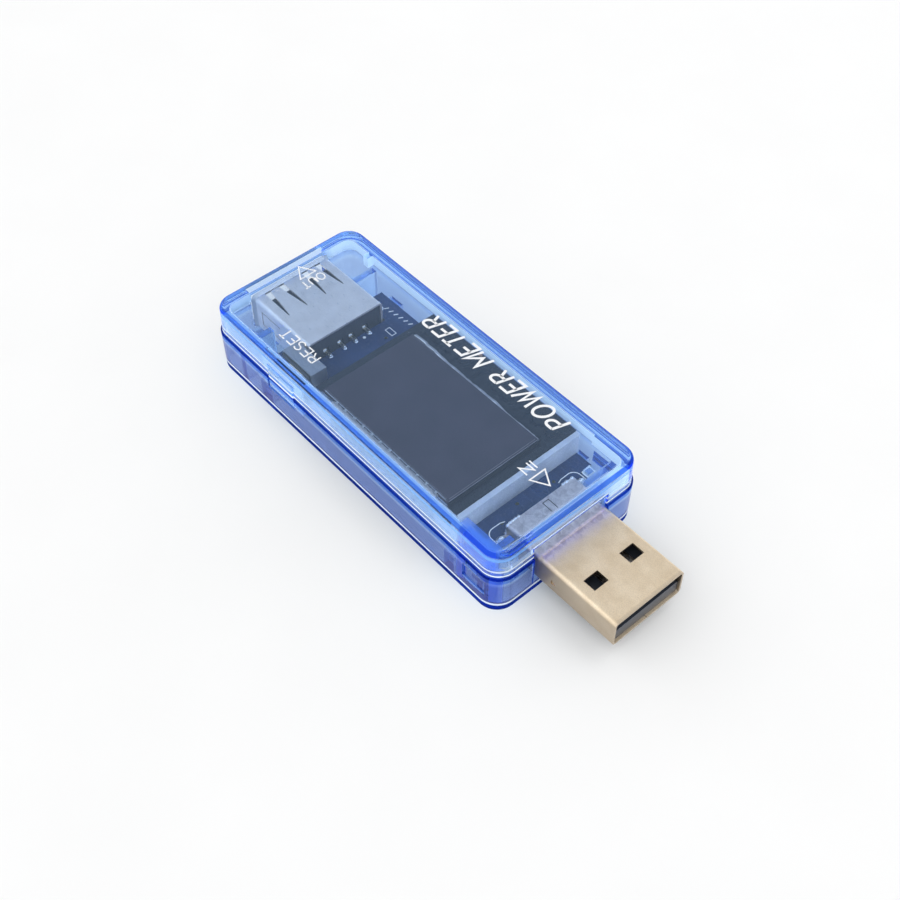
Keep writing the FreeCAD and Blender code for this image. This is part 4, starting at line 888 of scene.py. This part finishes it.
# the bright cut edges of the front film, and a fine line inside the one at the plug
work = bmesh.new()
low_z, high_z = film_high.z + GAP, film_high.z + GAP + PRINT
inset = 0.04
stroke(work, [(film_low.x + 0.05, film_high.y - inset), (film_high.x - inset, film_high.y - inset),
              (film_high.x - inset, film_low.y + 0.3)], 0.06, low_z, high_z)
line_x = film_high.x - 0.34
stroke(work, [(line_x, film_high.y - 0.3), (line_x, film_low.y + 0.6)], 0.04, low_z, high_z)
add_piece("display_film_edges", work, moulded("film_edge", (0.20, 0.21, 0.25), 0.25, 0.004))

# a grey bead along the near edge, over the gap between the glass and the pins
work = bmesh.new()
for away, radius, seed in ((0.34, 0.17, 15), (0.06, 0.15, 16)):
    y, z = glass_low.y - away, film_high.z - 0.02
    rope(work, along((pins_low.x - 0.3, y, z), (pins_high.x + 0.3, y, z), 110), radius, seed, 0.3)
add_piece("display_near_seal", work, near_seal(), LUMPY_ANGLE)

# two copper prints on the rear glass, beyond the far edge of the front one
work = bmesh.new()
for x in (4.41, -5.22):
    print_outline = arc(x, 10.16, 0.34, 0.28, 0, 360, 24)[:-1]
    prism(work, print_outline, rear_glass_top + GAP, rear_glass_top + 0.02)
add_piece("display_contact_prints", work, bright_tin("copper_print", (0.80, 0.48, 0.30)))


# ---- studio --------------------------------------------------------------------------------------

FLOOR_HALF = 3.0        # metres
FLOOR_DROP = -2e-5      # just below the case, so that the two faces don't coincide


def make_floor():
    mesh = bpy.data.meshes.new("floor")
    corners = [(x * FLOOR_HALF, y * FLOOR_HALF, FLOOR_DROP) for x, y in ((-1, -1), (1, -1), (1, 1), (-1, 1))]
    mesh.from_pydata(corners, [], [(0, 1, 2, 3)])
    floor = bpy.data.objects.new("floor", mesh)
    mesh.materials.append(floor_white().material)
    bpy.context.scene.collection.objects.link(floor)


def area_light(name, place, target, size, power):
    data = bpy.data.lights.new(name, "AREA")
    data.shape = "RECTANGLE"
    data.size, data.size_y = size
    data.energy = power
    lamp = bpy.data.objects.new(name, data)
    lamp.location = place
    lamp.rotation_mode = "QUATERNION"
    lamp.rotation_quaternion = (Vector(target) - Vector(place)).to_track_quat("-Z", "Y")
    bpy.context.scene.collection.objects.link(lamp)


DIM_DIRECTION = (-0.40, 0.45, 0.80)         # where the level faces mirror the room to the camera
ROOM_BRIGHT, ROOM_DIM = (1.32, 1.32, 1.32, 1), (0.42, 0.43, 0.45, 1)


def make_world():
    """A pale room with one dimmer patch."""
    world = bpy.data.worlds.new("room")
    bpy.context.scene.world = world
    world.use_nodes = True
    tree = world.node_tree
    tree.nodes.clear()
    where = tree.nodes.new("ShaderNodeTexCoord")
    turn = tree.nodes.new("ShaderNodeVectorMath")
    turn.operation = "DOT_PRODUCT"
    turn.inputs[1].default_value = Vector(DIM_DIRECTION).normalized()
    tree.links.new(where.outputs["Generated"], turn.inputs[0])
    ramp = tree.nodes.new("ShaderNodeValToRGB")
    ramp.color_ramp.interpolation = "EASE"
    tree.links.new(turn.outputs["Value"], ramp.inputs["Fac"])
    first, last = ramp.color_ramp.elements
    first.position, first.color = 0.55, ROOM_BRIGHT
    last.position, last.color = 0.97, ROOM_DIM
    light = tree.nodes.new("ShaderNodeBackground")
    light.inputs["Strength"].default_value = 1.0
    tree.links.new(ramp.outputs["Color"], light.inputs["Color"])
    end = tree.nodes.new("ShaderNodeOutputWorld")
    tree.links.new(light.outputs[0], end.inputs["Surface"])


CAMERA_PLACE = (87.96, -77.39, 143.13)      # millimetres
CAMERA_TARGET = (1.858, -1.568, 5.0)
CAMERA_ROLL = 0.07                          # degrees


def make_camera():
    data = bpy.data.cameras.new("camera")
    data.lens = 54.07
    data.sensor_width = 36.0
    data.clip_start = 0.005
    data.clip_end = 10.0
    camera = bpy.data.objects.new("camera", data)
    place, target = Vector(CAMERA_PLACE) * MM, Vector(CAMERA_TARGET) * MM
    camera.location = place
    camera.rotation_mode = "QUATERNION"
    roll = Matrix.Rotation(math.radians(CAMERA_ROLL), 3, "Z").to_quaternion()
    camera.rotation_quaternion = (target - place).to_track_quat("-Z", "Y") @ roll
    bpy.context.scene.collection.objects.link(camera)
    bpy.context.scene.camera = camera


make_floor()
make_world()
area_light("key", (0.05, 0.30, 0.75), (0, 0, 0), (0.30, 0.30), 0.5)
make_camera()

scene = bpy.context.scene
scene.view_settings.view_transform = "Standard"
scene.view_settings.look = "None"
scene.view_settings.exposure = 0.0

# light crosses many clear faces before it leaves the case
cycles = scene.cycles
cycles.max_bounces = 64
cycles.transmission_bounces = 64
cycles.transparent_max_bounces = 32
cycles.glossy_bounces = 64
cycles.diffuse_bounces = 4
cycles.caustics_reflective = False
cycles.caustics_refractive = True
cycles.use_denoising = True
cycles.denoiser = "OPENIMAGEDENOISE"
cycles.sample_clamp_indirect = 6.0
